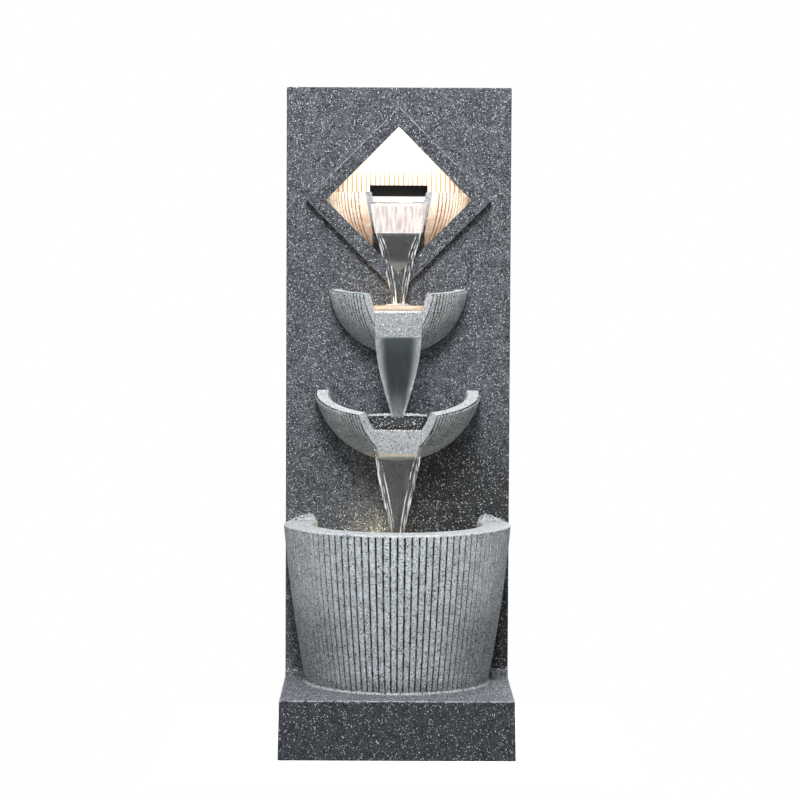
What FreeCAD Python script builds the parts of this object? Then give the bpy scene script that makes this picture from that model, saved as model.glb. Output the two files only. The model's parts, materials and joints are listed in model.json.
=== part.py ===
"""Free-standing rockery fountain: a flat granite-look tower on a plinth, with a lit diamond niche,
two half bowls and a ribbed pot in front of it, and the pump, hose and lamps that make it run.

Millimetres, +Z up. The viewer stands on the -Y side. The origin is the centre of the footprint, on the floor.
Most places are given in the tower's own frame: x to the right, e out of the tower's front face
(negative inside the tower) and h above the plinth's deck."""

import FreeCAD, Part
import math
import os

V = FreeCAD.Vector

# Driving dimensions of the castings
tower_width = 330.0
tower_height = 868.0
tower_depth = 80.0
casting_wall = 8.0
plinth_height = 84.0
plinth_reach = 225.0          # deck length in front of the tower
plinth_draft = 1.7            # each side spreads this far from deck to floor
edge_round = 2.0
rim_round = 2.5               # softened rims of the bowls and the pot
deck_cove = 11.0              # hollow moulding where the tower meets the deck
rim_cove = 10.0               # grout bead where the pot's rim meets the tower
foot_cove = 5.0               # grout bead round the pot's foot, on the deck

# Clearances
bond_gap = 0.3                # adhesive gap between bonded castings
screw_gap = 0.3               # screw or bolt in a through hole
thread_gap = 0.05             # screw or bolt in its own thread, hose on its barb
run_gap = 0.05                # turning fits
lead_gap = 0.1                # hose or lead in a grommet

# Rear cover and its door
cover_thickness = 5.0
cover_recess = 12.0           # tower walls stand this far behind the cover
cover_gap = 0.5
ledge_width = 12.0
ledge_thickness = 10.0
door_opening_width = 140.0
door_opening_height = 180.0
door_opening_bottom = 230.0
door_overlap = 12.0
door_thickness = 4.0
door_seat_gap = 0.3
hinge_radius = 3.3
hinge_pin_radius = 1.5
hinge_pin_fit = 0.02
hinge_lug_length = 8.0
hinge_knuckle_length = 16.0
hinge_end_gap = 0.3
hinge_inset = 26.0            # hinge centres from the door's top and bottom
hinge_edge_gap = 0.6
magnet_radius = 4.0
magnet_thickness = 3.0
strike_thickness = 1.5
magnet_inset = 40.0
knob_radius = 9.0
knob_height = 6.0
knob_stud_radius = 2.5
knob_flange_radius = 4.5
knob_flange_thickness = 1.5
knob_inset = 14.0             # knob centre from the opening's free side

# Cord gland in the rear cover
gland_inset = 55.0            # from the tower's side
gland_h = 60.0
gland_bore_radius = 3.6
gland_thread_radius = 7.5
gland_hex = 22.0
gland_collar = 4.0
gland_dome_radius = 8.5
gland_dome = 5.0
gland_thread_length = 12.0
gland_nut_thickness = 5.0

# Diamond niche
niche_h = 703.0
frame_outer = 136.0           # half diagonals of the raised frame
frame_inner = 107.0
frame_thickness = 16.0
tray_inner = 117.0            # half diagonal of the niche behind the frame
tray_wall = 5.0
tray_depth = 36.0
tray_flange = 6.0
tray_flange_thickness = 3.0
slot_width = 86.0
slot_height = 17.0
slot_bottom = 709.0
flute_pitch = 6.9
flute_width = 2.4
flute_depth = 1.4

# Light bar under the niche's upper corner
light_channel = 4.5
light_diffuser = 1.5
light_width = 10.0
light_setback = 4.0
light_leg_bottom = 726.0

# Ribbed bowls: e and h of the ball's centre, its radius, the rim and the notch with its lip
bowl_wall = 19.0
rib_width = 2.4
rib_depth = 1.6
rib_end_radius = 52.0         # ribs stop where they would crowd together under the bowl
lip_thickness = 9.0
seal_thickness = 1.5
niche_bowl = dict(e=-76.0, h=715.0, radius=110.0, wall=14.0, rim=715.0, tilt=0.0, pitch=6.9,
                  lip_top=(17.0, 697.0), lip_bottom=(21.0, 654.0), half=41.2, per_h=0.24, per_e=1.0)
upper_bowl = dict(e=0.0, h=579.0, radius=102.0, wall=bowl_wall, rim=572.5, tilt=4.0, pitch=6.0,
                  lip_top=(71.0, 541.0), lip_bottom=(74.5, 503.5), half=36.5, per_h=0.16, per_e=0.7)
lower_bowl = dict(e=22.0, h=446.0, radius=125.0, wall=bowl_wall, rim=424.0, tilt=14.5, pitch=6.0,
                  lip_top=(92.0, 370.0), lip_bottom=(80.0, 331.0), half=37.0, per_h=0.0, per_e=0.8)

# Pot
pot_e = 41.0                  # axis in front of the tower face
pot_height = 230.0
pot_overhang = 1.0            # rim past each side of the tower
pot_flare = 32.0              # rim's radius less the foot's
pot_bulge = 3.0               # side's swell at half height, outside a straight line
pot_wall = 16.0
pot_floor = 12.0
pot_rim_width = 42.0
pot_rim_thickness = 14.0
pot_rib_pitch = 10.4
pot_rib_width = 3.0
pot_rib_depth = 2.4
pot_rib_top_land = 3.0

# Bolts that hold bowls, pot and plinth
bolt_radius = 3.0
bolt_head_width = 10.0
bolt_head_height = 4.0
bolt_bite = 14.0
washer_radius = 6.5
washer_thickness = 1.5
bowl_bolt_angle = 15.0        # side bolts, below the ball's centre
pot_bolt_heights = (60.0, 170.0)
tower_bolt_inset = 45.0       # from the tower's sides
tower_bolt_depths = (20.0, 55.0)

# Small screws
screw_radius = 1.5
screw_head_radius = 3.0
screw_head_height = 1.8
screw_bite = 6.0
cover_screw_radius = 1.75
cover_screw_head_radius = 4.0
cover_screw_head_height = 2.2
cover_screw_columns = 3
cover_screw_rows = 4

# Pump
pump_e = 44.0
pump_length = 36.0
pump_width = 48.0
pump_height = 44.0
pump_round = 5.0
pump_cup_height = 5.0
pump_cup_radius = 8.0
pump_cup_neck = 4.0
rotor_well_radius = 9.0
rotor_well_depth = 28.0
magnet_ring_radius = 8.0
magnet_ring_length = 25.0
sleeve_radius = 3.0
shaft_radius = 1.0
shaft_fit = 0.02
shaft_socket = 4.0
volute_length = 18.0
chamber_radius = 17.0
chamber_length = 14.0
intake_radius = 8.0
spider_hub_radius = 3.0
spider_spoke = 2.0
impeller_radius = 15.0
impeller_disc = 2.0
impeller_end_gap = 1.0
blade_count = 6
blade_length = 8.0
blade_thickness = 1.5
strainer_length = 24.0
strainer_wall = 2.0
strainer_slot = 3.0
strainer_slot_pitch = 6.0
dial_radius = 13.0
dial_thickness = 3.0
dial_grip_height = 4.0
dial_grip_width = 4.0
dial_stem_radius = 3.0
dial_snap_radius = 3.8
dial_snap_length = 1.5

# Hose and its fittings
hose_radius = 7.0
hose_bore_radius = 5.1
hose_bend = 30.0
hose_h = 200.0                # where it passes the tower's wall, above the water
hose_depth = 51.0             # riser behind the tower face
barb_bore_radius = 3.5
barb_length = 18.0
clamp_width = 7.0
clamp_thickness = 1.2
clamp_ear = 5.0
clip_heights = (290.0, 545.0)
clip_width = 12.0
clip_plate_height = 34.0
clip_plate_thickness = 3.0
clip_stem = 5.0
clip_ring = 2.0
clip_screw_drop = 11.0
grommet_wall = 2.4
grommet_flange = 3.0
grommet_flange_thickness = 2.0

# Outlet box behind the niche
box_width = 104.0
box_height = 46.0
box_bottom = 690.0
box_depth = 20.0
box_wall = 3.0
box_ear = 12.0

# Lamps and leads
lamp_flange_radius = 15.0
lamp_flange_thickness = 4.0
lamp_lens_radius = 11.0
lamp_lens_height = 5.0
lamp_stem_radius = 6.0
lamp_nut_width = 18.0
lamp_nut_thickness = 5.0
lamp_gasket_thickness = 1.0
lamp_boot_size = 12.0
lead_radius = 2.0
pump_lead_radius = 2.5
lead_depth = 20.0             # plane of the leads behind the tower face
lead_socket = 4.0
upper_lamp = dict(x=-30.0, h=520.0)
pot_lamp = dict(x=-55.0, h=150.0)
pump_lead_x = -27.0

# Cable splitter on the tower's inner wall
splitter_inset = 70.0         # from the tower's side
splitter_h = 330.0
splitter_width = 44.0
splitter_height = 60.0
splitter_depth = 26.0
splitter_ear = 10.0
splitter_ear_thickness = 4.0
splitter_port_pitch = 24.0

# Places that follow from the sizes above
total_depth = plinth_reach + plinth_draft + tower_depth
back_y = total_depth / 2
face_y = back_y - tower_depth
deck_z = plinth_height
cover_inside = tower_depth - cover_recess - cover_thickness
cover_outside = tower_depth - cover_recess
tray_outer = tray_inner + tray_wall * math.sqrt(2)
tray_back = tray_depth + tray_wall
pot_rim_radius = tower_width / 2 + pot_overhang
pot_foot_radius = pot_rim_radius - pot_flare
tower_bolt_x = tower_width / 2 - tower_bolt_inset
gland_x = gland_inset - tower_width / 2
splitter_x = splitter_inset - tower_width / 2


def at(x, e, h):
    """Point x right of centre, e in front of the tower face and h above the deck."""
    return V(x, face_y - e, deck_z + h)


def slab(x0, x1, e0, e1, h0, h1):
    """Box between two x, e and h limits, given in rising order."""
    return Part.makeBox(x1 - x0, e1 - e0, h1 - h0, at(x0, e1, h0))


def rod_e(x, h, radius, e0, e1):
    """Round bar square to the tower face, from e0 out to e1."""
    return Part.makeCylinder(radius, e1 - e0, at(x, e1, h), V(0, 1, 0))


def rod_h(x, e, radius, h0, h1):
    """Upright round bar."""
    return Part.makeCylinder(radius, h1 - h0, at(x, e, h0), V(0, 0, 1))


def rod_x(e, h, radius, x0, x1):
    """Round bar across the tower."""
    return Part.makeCylinder(radius, x1 - x0, at(x0, e, h), V(1, 0, 0))


def hex_bar(centre, axis, width, length):
    """Hexagonal bar from centre along axis, width across its flats."""
    corner = width / math.sqrt(3)
    u = V(0, 0, 1) if abs(axis.z) < 0.5 else V(1, 0, 0)
    w = axis.cross(u)
    points = []
    for k in range(7):
        a = math.radians(60 * k)
        points.append(centre + u * (corner * math.cos(a)) + w * (corner * math.sin(a)))
    return Part.Face(Part.makePolygon(points)).extrude(axis * length)


def diamond(half, e0, e1):
    """Upright square prism on its corner, centred on the niche."""
    around = [(half, 0), (0, half), (-half, 0), (0, -half), (half, 0)]
    face = Part.Face(Part.makePolygon([at(x, e1, niche_h + rise) for x, rise in around]))
    return face.extrude(V(0, e1 - e0, 0))


def hexahedron(corners):
    """Solid with eight corners: four of one end in order, then the four opposite ones."""
    sides = [(3, 2, 1, 0), (4, 5, 6, 7), (0, 1, 5, 4), (1, 2, 6, 5), (2, 3, 7, 6), (3, 0, 4, 7)]
    faces = [Part.Face(Part.makePolygon([corners[k] for k in s + s[:1]])) for s in sides]
    solid = Part.Solid(Part.Shell(faces))
    if solid.Volume < 0:
        solid.reverse()
    return solid


def cove_strip(half, h, radius):
    """Hollow moulding across the tower's face, that stands on height h."""
    block = slab(-half, half, 0, radius, h, h + radius)
    return block.cut(rod_x(radius, h + radius, radius, -half, half))


def joined(shapes):
    """One solid from overlapping or touching ones."""
    return shapes[0].multiFuse(shapes[1:]).removeSplitter()


def arc_path(points, bends):
    """Wire of straight runs with a tangent arc of the given radius at each inner point."""
    edges = []
    start = points[0]
    for k in range(1, len(points) - 1):
        before = (points[k - 1] - points[k]).normalize()
        after = (points[k + 1] - points[k]).normalize()
        half_turn = (math.pi - before.getAngle(after)) / 2
        reach = bends[k - 1] * math.tan(half_turn)
        p = points[k] + before * reach
        q = points[k] + after * reach
        inward = (before + after).normalize()
        middle = points[k] + inward * (bends[k - 1] / math.cos(half_turn) - bends[k - 1])
        edges.append(Part.LineSegment(start, p).toShape())
        edges.append(Part.Arc(p, middle, q).toShape())
        start = q
    edges.append(Part.LineSegment(start, points[-1]).toShape())
    return Part.Wire(edges)


def tube(points, bends, radius, bore=0.0):
    """Round tube or solid lead along straight runs and arcs."""
    path = arc_path(points, bends)
    along = (points[1] - points[0]).normalize()

    def swept(r):
        ring = Part.Wire(Part.Circle(points[0], along, r).toShape())
        return path.makePipeShell([ring], True, True)

    outer = Part.Solid(swept(radius))
    ratio = outer.Volume / (math.pi * radius ** 2 * path.Length)
    print("tube radius %.1f, bends %s, length %.0f, volume ratio %.4f" % (radius, bends, path.Length, ratio))
    return outer.cut(Part.Solid(swept(bore))) if bore else outer


# Bowls

def ball(bowl, radius):
    return Part.makeSphere(radius, at(0, bowl["e"], bowl["h"]))


def below_rim(bowl):
    """Everything under the bowl's rim plane, which leans forward by its tilt."""
    size = 4 * bowl["radius"]
    block = Part.makeBox(size, size, size, at(-size / 2, size / 2, bowl["rim"] - size))
    block.rotate(at(0, 0, bowl["rim"]), V(1, 0, 0), bowl["tilt"])
    return block


def lip_e(bowl, h):
    """How far out the lip's front face is at height h."""
    (e1, h1), (e0, h0) = bowl["lip_top"], bowl["lip_bottom"]
    return e0 + (e1 - e0) * (h - h0) / (h1 - h0)


def notch_half(bowl, e, h):
    """Half the notch's width, whose sides spread upwards and outwards."""
    e1, h1 = bowl["lip_top"]
    return bowl["half"] + bowl["per_h"] * (h - h1) + bowl["per_e"] * (e - e1)


def notch_block(bowl, behind, ahead, bottom, top, slack):
    """Block between the notch's sides, from behind to ahead of the lip's front face."""
    corners = []
    for h in (bottom, top):
        for side, e in ((-1, lip_e(bowl, h) - behind), (-1, lip_e(bowl, h) + ahead),
                        (1, lip_e(bowl, h) + ahead), (1, lip_e(bowl, h) - behind)):
            corners.append(at(side * (notch_half(bowl, e, h) - slack), e, h))
    return hexahedron(corners)


def rib_grooves(bowl, first_angle):
    """Grooves down the ball's outside, in planes through its upright axis, clear of the notch."""
    r = bowl["radius"]
    count = round(2 * math.pi * r / bowl["pitch"])
    step = 360.0 / count
    width = math.degrees(rib_width / r)
    inner = r - rib_depth
    low = -math.sqrt(r * r - rib_end_radius ** 2)
    outside = r + rib_depth
    centre = at(0, bowl["e"], bowl["h"])
    half_angle = math.asin(low / r)
    top = math.asin(min(1.0, (bowl["rim"] - bowl["h"] + rib_depth) / r))

    def on_arc(radius, angle):
        return centre + V(0, -radius * math.cos(angle), radius * math.sin(angle))

    middle = (half_angle + top) / 2
    edges = [
        Part.Arc(on_arc(inner, half_angle), on_arc(inner, middle), on_arc(inner, top)).toShape(),
        Part.LineSegment(on_arc(inner, top), on_arc(outside, top)).toShape(),
        Part.Arc(on_arc(outside, top), on_arc(outside, middle), on_arc(outside, half_angle)).toShape(),
        Part.LineSegment(on_arc(outside, half_angle), on_arc(inner, half_angle)).toShape(),
    ]
    band = Part.Face(Part.Wire(edges))
    e1, h1 = bowl["lip_top"]
    notch_angle = math.degrees(math.asin(notch_half(bowl, e1 + bowl["wall"], h1) / r))
    grooves = []
    k = math.ceil((notch_angle + width) / step)
    while k * step < first_angle:
        for side in (-1, 1):
            cutter = band.revolve(centre, V(0, 0, 1), width)
            cutter.rotate(centre, V(0, 0, 1), side * k * step - width / 2)
            grooves.append(cutter)
        k += 1
    return grooves


def rim_edges(shape):
    """Round edges of a solid's top face."""
    top = shape.BoundBox.ZMax - rim_round
    rings = [e for e in shape.Edges if e.Closed and not e.Degenerated]
    return [e for e in rings if e.BoundBox.ZMax + e.BoundBox.ZLength > top]


def make_bowl(bowl, back_e):
    """Ribbed half bowl with an open back at back_e and a notch, and the lip in the notch's foot."""
    r = bowl["radius"]
    front = slab(-2 * r, 2 * r, back_e, bowl["e"] + 2 * r, bowl["h"] - 2 * r, bowl["h"] + 2 * r)
    shell = ball(bowl, r).cut(ball(bowl, r - bowl["wall"])).common(below_rim(bowl))
    shell = shell.makeFillet(rim_round, rim_edges(shell)).common(front)
    foot = bowl["lip_bottom"][1]
    notch = notch_block(bowl, lip_thickness + bond_gap, r, foot, bowl["h"] + r, 0)
    reach = math.degrees(math.acos(max(-1.0, min(1.0, (back_e - bowl["e"]) / r))))
    shell = shell.cut(notch).cut(rib_grooves(bowl, reach))
    lip = notch_block(bowl, lip_thickness, 0, foot + bond_gap, bowl["lip_top"][1], bond_gap)
    return shell, lip


def bowl_bolt_places(bowl):
    """(x, h) of the three bolts round the bowl's back."""
    back = seal_thickness - bowl["e"]
    outer = math.sqrt(bowl["radius"] ** 2 - back ** 2)
    inner = math.sqrt((bowl["radius"] - bowl["wall"]) ** 2 - back ** 2)
    middle = (outer + inner) / 2
    drop = bowl["h"] - bowl["rim"] + 2 * washer_radius
    angle = max(math.radians(bowl_bolt_angle), math.asin(drop / middle))
    side = middle * math.cos(angle)
    low = bowl["h"] - middle * math.sin(angle)
    return [(-side, low), (side, low), (0.0, bowl["h"] - middle)]


def bowl_with_seal(bowl):
    """Bowl, lip and the flat seal between the bowl's back and the tower face, hidden behind ribs and rim."""
    r = bowl["radius"]
    shell, lip = make_bowl(bowl, seal_thickness)
    outer = math.sqrt((r - rib_depth) ** 2 - bowl["e"] ** 2)
    inner = math.sqrt((r - bowl["wall"]) ** 2 - (bowl["e"] - seal_thickness) ** 2)
    seal = rod_e(0, bowl["h"], outer, 0, seal_thickness).cut(rod_e(0, bowl["h"], inner, 0, seal_thickness))
    seal = seal.common(slab(-r, r, 0, seal_thickness, bowl["h"] - r, bowl["rim"] - 2 * rim_round))
    for x, h in bowl_bolt_places(bowl):
        seal = seal.cut(rod_e(x, h, bolt_radius + screw_gap, 0, seal_thickness))
        shell = shell.cut(rod_e(x, h, bolt_radius + thread_gap, 0, seal_thickness + bolt_bite))
    return shell, lip, seal


# Pot

def pot_arc(offset):
    """Three (radius, h) points of the pot's side, moved in by offset."""
    belly = (pot_foot_radius + pot_rim_radius) / 2 + pot_bulge
    return [(pot_foot_radius - offset, 0.0), (belly - offset, pot_height / 2),
            (pot_rim_radius - offset, pot_height)]


def pot_circle(offset):
    """Centre (radius, h) and radius of the arc through the pot's side."""
    (x1, y1), (x2, y2), (x3, y3) = pot_arc(offset)
    d = 2 * (x1 * (y2 - y3) + x2 * (y3 - y1) + x3 * (y1 - y2))
    s1, s2, s3 = x1 ** 2 + y1 ** 2, x2 ** 2 + y2 ** 2, x3 ** 2 + y3 ** 2
    cx = (s1 * (y2 - y3) + s2 * (y3 - y1) + s3 * (y1 - y2)) / d
    cy = (s1 * (x3 - x2) + s2 * (x1 - x3) + s3 * (x2 - x1)) / d
    return cx, cy, math.hypot(x1 - cx, y1 - cy)


def pot_radius(h, offset=0.0):
    """Outside radius of the pot at height h, moved in by offset."""
    cx, cy, r = pot_circle(offset)
    return cx + math.sqrt(r * r - (h - cy) ** 2)


def pot_side(offset, h0, h1):
    """Arc of the pot's side between two heights, in the plane in front of its axis."""
    points = [at(0, pot_e + pot_radius(h, offset), h) for h in (h0, (h0 + h1) / 2, h1)]
    return Part.Arc(*points).toShape()


def spun(edges, angle=360.0):
    """Solid of revolution about the pot's axis."""
    return Part.Face(Part.Wire(edges)).revolve(at(0, pot_e, 0), V(0, 0, 1), angle)


def line(p, q):
    return Part.LineSegment(p, q).toShape()


def pot_grooves():
    """Upright grooves round the pot, cut to an even depth."""
    count = round(2 * math.pi * pot_rim_radius / pot_rib_pitch)
    step = 360.0 / count
    width = math.degrees(pot_rib_width / pot_rim_radius)
    top = pot_height - pot_rib_top_land
    inner = pot_side(pot_rib_depth, 0, top)
    outer = pot_side(-pot_rib_depth, 0, top)
    ends = [line(inner.Vertexes[0].Point, outer.Vertexes[0].Point),
            line(inner.Vertexes[1].Point, outer.Vertexes[1].Point)]
    cutter = spun([inner, ends[1], outer, ends[0]], width)
    reach = 90 + math.degrees(math.asin((pot_e - seal_thickness) / pot_rim_radius)) - width
    grooves = []
    for k in range(-int(reach / step), int(reach / step) + 1):
        groove = cutter.copy()
        groove.rotate(at(0, pot_e, 0), V(0, 0, 1), k * step - width / 2)
        grooves.append(groove)
    return grooves


def pot_bolt_places():
    """(x, h) of the bolts in the middle of the pot's wall, where it meets the tower."""
    places = []
    for h in pot_bolt_heights:
        back = pot_e - seal_thickness
        outer = math.sqrt(pot_radius(h) ** 2 - back ** 2)
        inner = math.sqrt(pot_radius(h, pot_wall) ** 2 - back ** 2)
        places += [(-(outer + inner) / 2, h), ((outer + inner) / 2, h)]
    return places


def make_pot():
    """Round pot with an inward rim, open at the back, and the seal between it and the tower."""
    axis_top = at(0, pot_e, pot_height)
    axis_foot = at(0, pot_e, 0)
    outside = pot_side(0, 0, pot_height)
    body = spun([line(axis_foot, outside.Vertexes[0].Point), outside,
                 line(outside.Vertexes[1].Point, axis_top), line(axis_top, axis_foot)])
    under_rim = pot_height - pot_rim_thickness
    inside = pot_side(pot_wall, pot_floor, under_rim)
    low, high = at(0, pot_e, pot_floor), at(0, pot_e, under_rim)
    hollow = spun([line(low, inside.Vertexes[0].Point), inside,
                   line(inside.Vertexes[1].Point, high), line(high, low)])
    mouth = Part.makeCylinder(pot_rim_radius - pot_rim_width, 2 * pot_rim_thickness, high)
    size = 2 * pot_rim_radius
    front = slab(-size, size, 0, 2 * size, 0, pot_height)
    round_pot = body.cut(hollow).cut(mouth)
    whole = round_pot.makeFillet(rim_round, rim_edges(round_pot)).common(front).cut(pot_grooves())
    skin = slab(-size, size, 0, seal_thickness, 0, pot_height)
    seal = whole.common(skin)
    pot = whole.cut(skin)
    for x, h in pot_bolt_places():
        seal = seal.cut(rod_e(x, h, bolt_radius + screw_gap, 0, seal_thickness))
        pot = pot.cut(rod_e(x, h, bolt_radius + thread_gap, 0, seal_thickness + bolt_bite))
    return pot, seal


def make_grout_beads():
    """Hollow bead of grout on each end of the pot's rim, against the tower, and one round the pot's foot."""
    top = pot_height + rim_cove
    ring = rod_h(0, pot_e, pot_rim_radius - rim_round, pot_height, top)
    ring = ring.cut(rod_h(0, pot_e, pot_rim_radius - pot_rim_width + rim_round, pot_height, top))
    rim_beads = cove_strip(pot_rim_radius, pot_height, rim_cove).common(ring)
    low, high = (at(0, pot_e + pot_radius(h) + bond_gap, h) for h in (0, foot_cove))
    toe = at(0, pot_e + pot_radius(0) + bond_gap + foot_cove, 0)
    foot_ring = spun([line(low, toe), line(toe, high), line(high, low)])
    size = 2 * pot_rim_radius
    foot_bead = foot_ring.common(slab(-size, size, deck_cove, size, 0, foot_cove))
    return Part.Compound(rim_beads.Solids + foot_bead.Solids)


# Plinth and tower

def draughted(inset, h0, h1):
    """Block with the plinth's sloping sides, moved in by inset, between two heights above the floor."""
    rings = []
    for z in (h0, h1):
        spread = plinth_draft * (1 - z / plinth_height)
        half = tower_width / 2 + spread - inset
        front = -total_depth / 2 + plinth_draft - spread + inset
        back = back_y - inset
        corners = [V(-half, front, z), V(half, front, z), V(half, back, z), V(-half, back, z)]
        rings += corners
    return hexahedron(rings)


def tower_bolt_places():
    return [(s * tower_bolt_x, -d) for s in (-1, 1) for d in tower_bolt_depths]


def make_plinth():
    """Hollow plinth, open underneath, with a cove along the tower's foot."""
    body = draughted(0, 0, plinth_height)
    edges = []
    for edge in body.Edges:
        a, b = edge.Vertexes[0].Point, edge.Vertexes[1].Point
        on_deck = min(a.z, b.z) > plinth_height / 2
        at_back = min(a.y, b.y) > back_y - edge_round
        upright = abs(a.z - b.z) > plinth_height / 2 and max(a.y, b.y) < 0
        if (on_deck and not at_back) or upright:
            edges.append(edge)
    body = body.makeFillet(edge_round, edges)
    pot_room = Part.makeCylinder(pot_radius(deck_cove) + bond_gap, deck_cove, at(0, pot_e, 0))
    body = joined([body, cove_strip(tower_width / 2, 0, deck_cove).cut(pot_room)])
    body = body.cut(draughted(casting_wall, 0, plinth_height - casting_wall))
    for x, e in tower_bolt_places():
        body = body.cut(rod_h(x, e, bolt_radius + screw_gap, -casting_wall, 0))
    return body


def wall_bolt_places():
    return bowl_bolt_places(upper_bowl) + bowl_bolt_places(lower_bowl) + pot_bolt_places()


def clip_screw_places():
    return [(0.0, h - clip_screw_drop) for h in clip_heights]


def splitter_screw_places():
    reach = splitter_height / 2 + splitter_ear / 2
    return [(splitter_x, splitter_h - reach), (splitter_x, splitter_h + reach)]


def cover_screw_places():
    """(x, h) round the ledge inside the tower's back."""
    half = tower_width / 2 - casting_wall - ledge_width / 2
    low = casting_wall + ledge_width / 2
    high = tower_height - casting_wall - ledge_width / 2
    places = []
    for k in range(cover_screw_rows):
        h = low + (high - low) * k / (cover_screw_rows - 1)
        places += [(-half, h), (half, h)]
    for k in range(1, cover_screw_columns - 1):
        x = -half + 2 * half * k / (cover_screw_columns - 1)
        places += [(x, low), (x, high)]
    return places


def make_tower():
    """Slab-shaped shell, open at the back, with a ledge for the rear cover."""
    half = tower_width / 2
    body = slab(-half, half, -tower_depth, 0, 0, tower_height)
    edges = []
    for edge in body.Edges:
        a, b = edge.Vertexes[0].Point, edge.Vertexes[1].Point
        in_front = max(a.y, b.y) < face_y + edge_round
        on_top = min(a.z, b.z) > deck_z + tower_height - edge_round
        upright = abs(a.z - b.z) > tower_height / 2
        if on_top or (in_front and upright):
            edges.append(edge)
    body = body.makeFillet(edge_round, edges)
    inner = half - casting_wall
    ceiling = tower_height - casting_wall
    body = body.cut(slab(-inner, inner, -tower_depth, -casting_wall, casting_wall, ceiling))
    ledge_front = -cover_inside + ledge_thickness
    ledge_out = slab(-inner, inner, -cover_inside, ledge_front, casting_wall, ceiling)
    clear = inner - ledge_width
    ledge_in = slab(-clear, clear, -cover_inside, ledge_front,
                    casting_wall + ledge_width, ceiling - ledge_width)
    body = joined([body, ledge_out.cut(ledge_in)])
    cuts = [diamond(tray_outer + bond_gap, -casting_wall, 0)]
    for x, h in wall_bolt_places():
        cuts.append(rod_e(x, h, bolt_radius + screw_gap, -casting_wall, 0))
    for lamp in (upper_lamp, pot_lamp):
        cuts.append(rod_e(lamp["x"], lamp["h"], lamp_stem_radius + screw_gap, -casting_wall, 0))
    for x, radius in ((0, hose_radius), (pump_lead_x, pump_lead_radius)):
        cuts.append(rod_e(x, hose_h, grommet_radius(radius) + bond_gap, -casting_wall, 0))
    pilot_end = -casting_wall + screw_bite + screw_gap
    for x, h in clip_screw_places() + splitter_screw_places():
        cuts.append(rod_e(x, h, screw_radius + thread_gap, -casting_wall, pilot_end))
    for x, h in cover_screw_places():
        cuts.append(rod_e(x, h, cover_screw_radius + thread_gap, -cover_inside, ledge_front))
    for x, e in tower_bolt_places():
        cuts.append(rod_h(x, e, bolt_radius + thread_gap, 0, casting_wall))
    return body.cut(cuts)


# Rear cover and door

door_middle_h = door_opening_bottom + door_opening_height / 2
door_half = door_opening_width / 2 + door_overlap
door_bottom = door_opening_bottom - door_overlap
door_top = door_opening_bottom + door_opening_height + door_overlap
hinge_x = -door_half - hinge_edge_gap - hinge_radius
hinge_e = -cover_outside - door_seat_gap - hinge_radius
hinge_heights = (door_bottom + hinge_inset, door_top - hinge_inset)
magnet_x = door_opening_width / 2 + door_overlap / 2
magnet_heights = (door_bottom + magnet_inset, door_top - magnet_inset)
knob_x = door_opening_width / 2 - knob_inset


def hinge_lug(h0, h1):
    """Rounded lug on the cover, from its face out to the hinge line."""
    foot = slab(hinge_x - hinge_radius, hinge_x + hinge_radius, hinge_e, -cover_outside, h0, h1)
    return joined([foot, rod_h(hinge_x, hinge_e, hinge_radius, h0, h1)])


def hinge_spans(h):
    """Heights of the lower lug, the knuckle and the upper lug of one hinge."""
    half = hinge_knuckle_length / 2
    inner = half + hinge_end_gap
    outer = inner + hinge_lug_length
    return (h - outer, h - inner), (h - half, h + half), (h + inner, h + outer)


def make_rear_cover():
    """Plate that closes the tower's back, with the door's opening, its hinge lugs and its magnets' seats."""
    half = tower_width / 2 - casting_wall - cover_gap
    low = casting_wall + cover_gap
    high = tower_height - casting_wall - cover_gap
    plate = slab(-half, half, -cover_outside, -cover_inside, low, high)
    opening = door_opening_width / 2
    plate = plate.cut(slab(-opening, opening, -cover_outside, -cover_inside,
                           door_opening_bottom, door_opening_bottom + door_opening_height))
    lugs = []
    for h in hinge_heights:
        below, knuckle, above = hinge_spans(h)
        lugs += [hinge_lug(*below), hinge_lug(*above)]
    plate = joined([plate] + lugs)
    cuts = []
    for h in hinge_heights:
        below, knuckle, above = hinge_spans(h)
        cuts.append(rod_h(hinge_x, hinge_e, hinge_pin_radius + hinge_pin_fit, below[0], above[1]))
    for x, h in cover_screw_places():
        cuts.append(rod_e(x, h, cover_screw_radius + screw_gap, -cover_outside, -cover_inside))
    magnet_seat = -cover_outside + magnet_thickness
    for h in magnet_heights:
        cuts.append(rod_e(magnet_x, h, magnet_radius + thread_gap, -cover_outside, magnet_seat))
    cuts.append(rod_e(gland_x, gland_h, gland_thread_radius + screw_gap, -cover_outside, -cover_inside))
    return plate.cut(cuts)


def make_door():
    """Overlay door with its hinge knuckles."""
    inner_e = -cover_outside - door_seat_gap
    plate = slab(-door_half, door_half, inner_e - door_thickness, inner_e, door_bottom, door_top)
    corners = [e for e in plate.Edges if e.BoundBox.YLength > door_thickness / 2]
    plate = plate.makeFillet(2 * edge_round, corners)
    knuckles = []
    for h in hinge_heights:
        h0, h1 = hinge_spans(h)[1]
        knuckles.append(rod_h(hinge_x, hinge_e, hinge_radius, h0, h1))
        knuckles.append(slab(hinge_x, -door_half + edge_round, inner_e - door_thickness, inner_e, h0, h1))
    door = joined([plate] + knuckles)
    for h in hinge_heights:
        h0, h1 = hinge_spans(h)[1]
        door = door.cut(rod_h(hinge_x, hinge_e, hinge_pin_radius + run_gap, h0, h1))
    for h in magnet_heights:
        door = door.cut(rod_e(magnet_x, h, magnet_radius + thread_gap, inner_e - strike_thickness, inner_e))
    stud_hole = knob_stud_radius + thread_gap
    return door.cut(rod_e(knob_x, door_middle_h, stud_hole, inner_e - door_thickness, inner_e))


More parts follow.
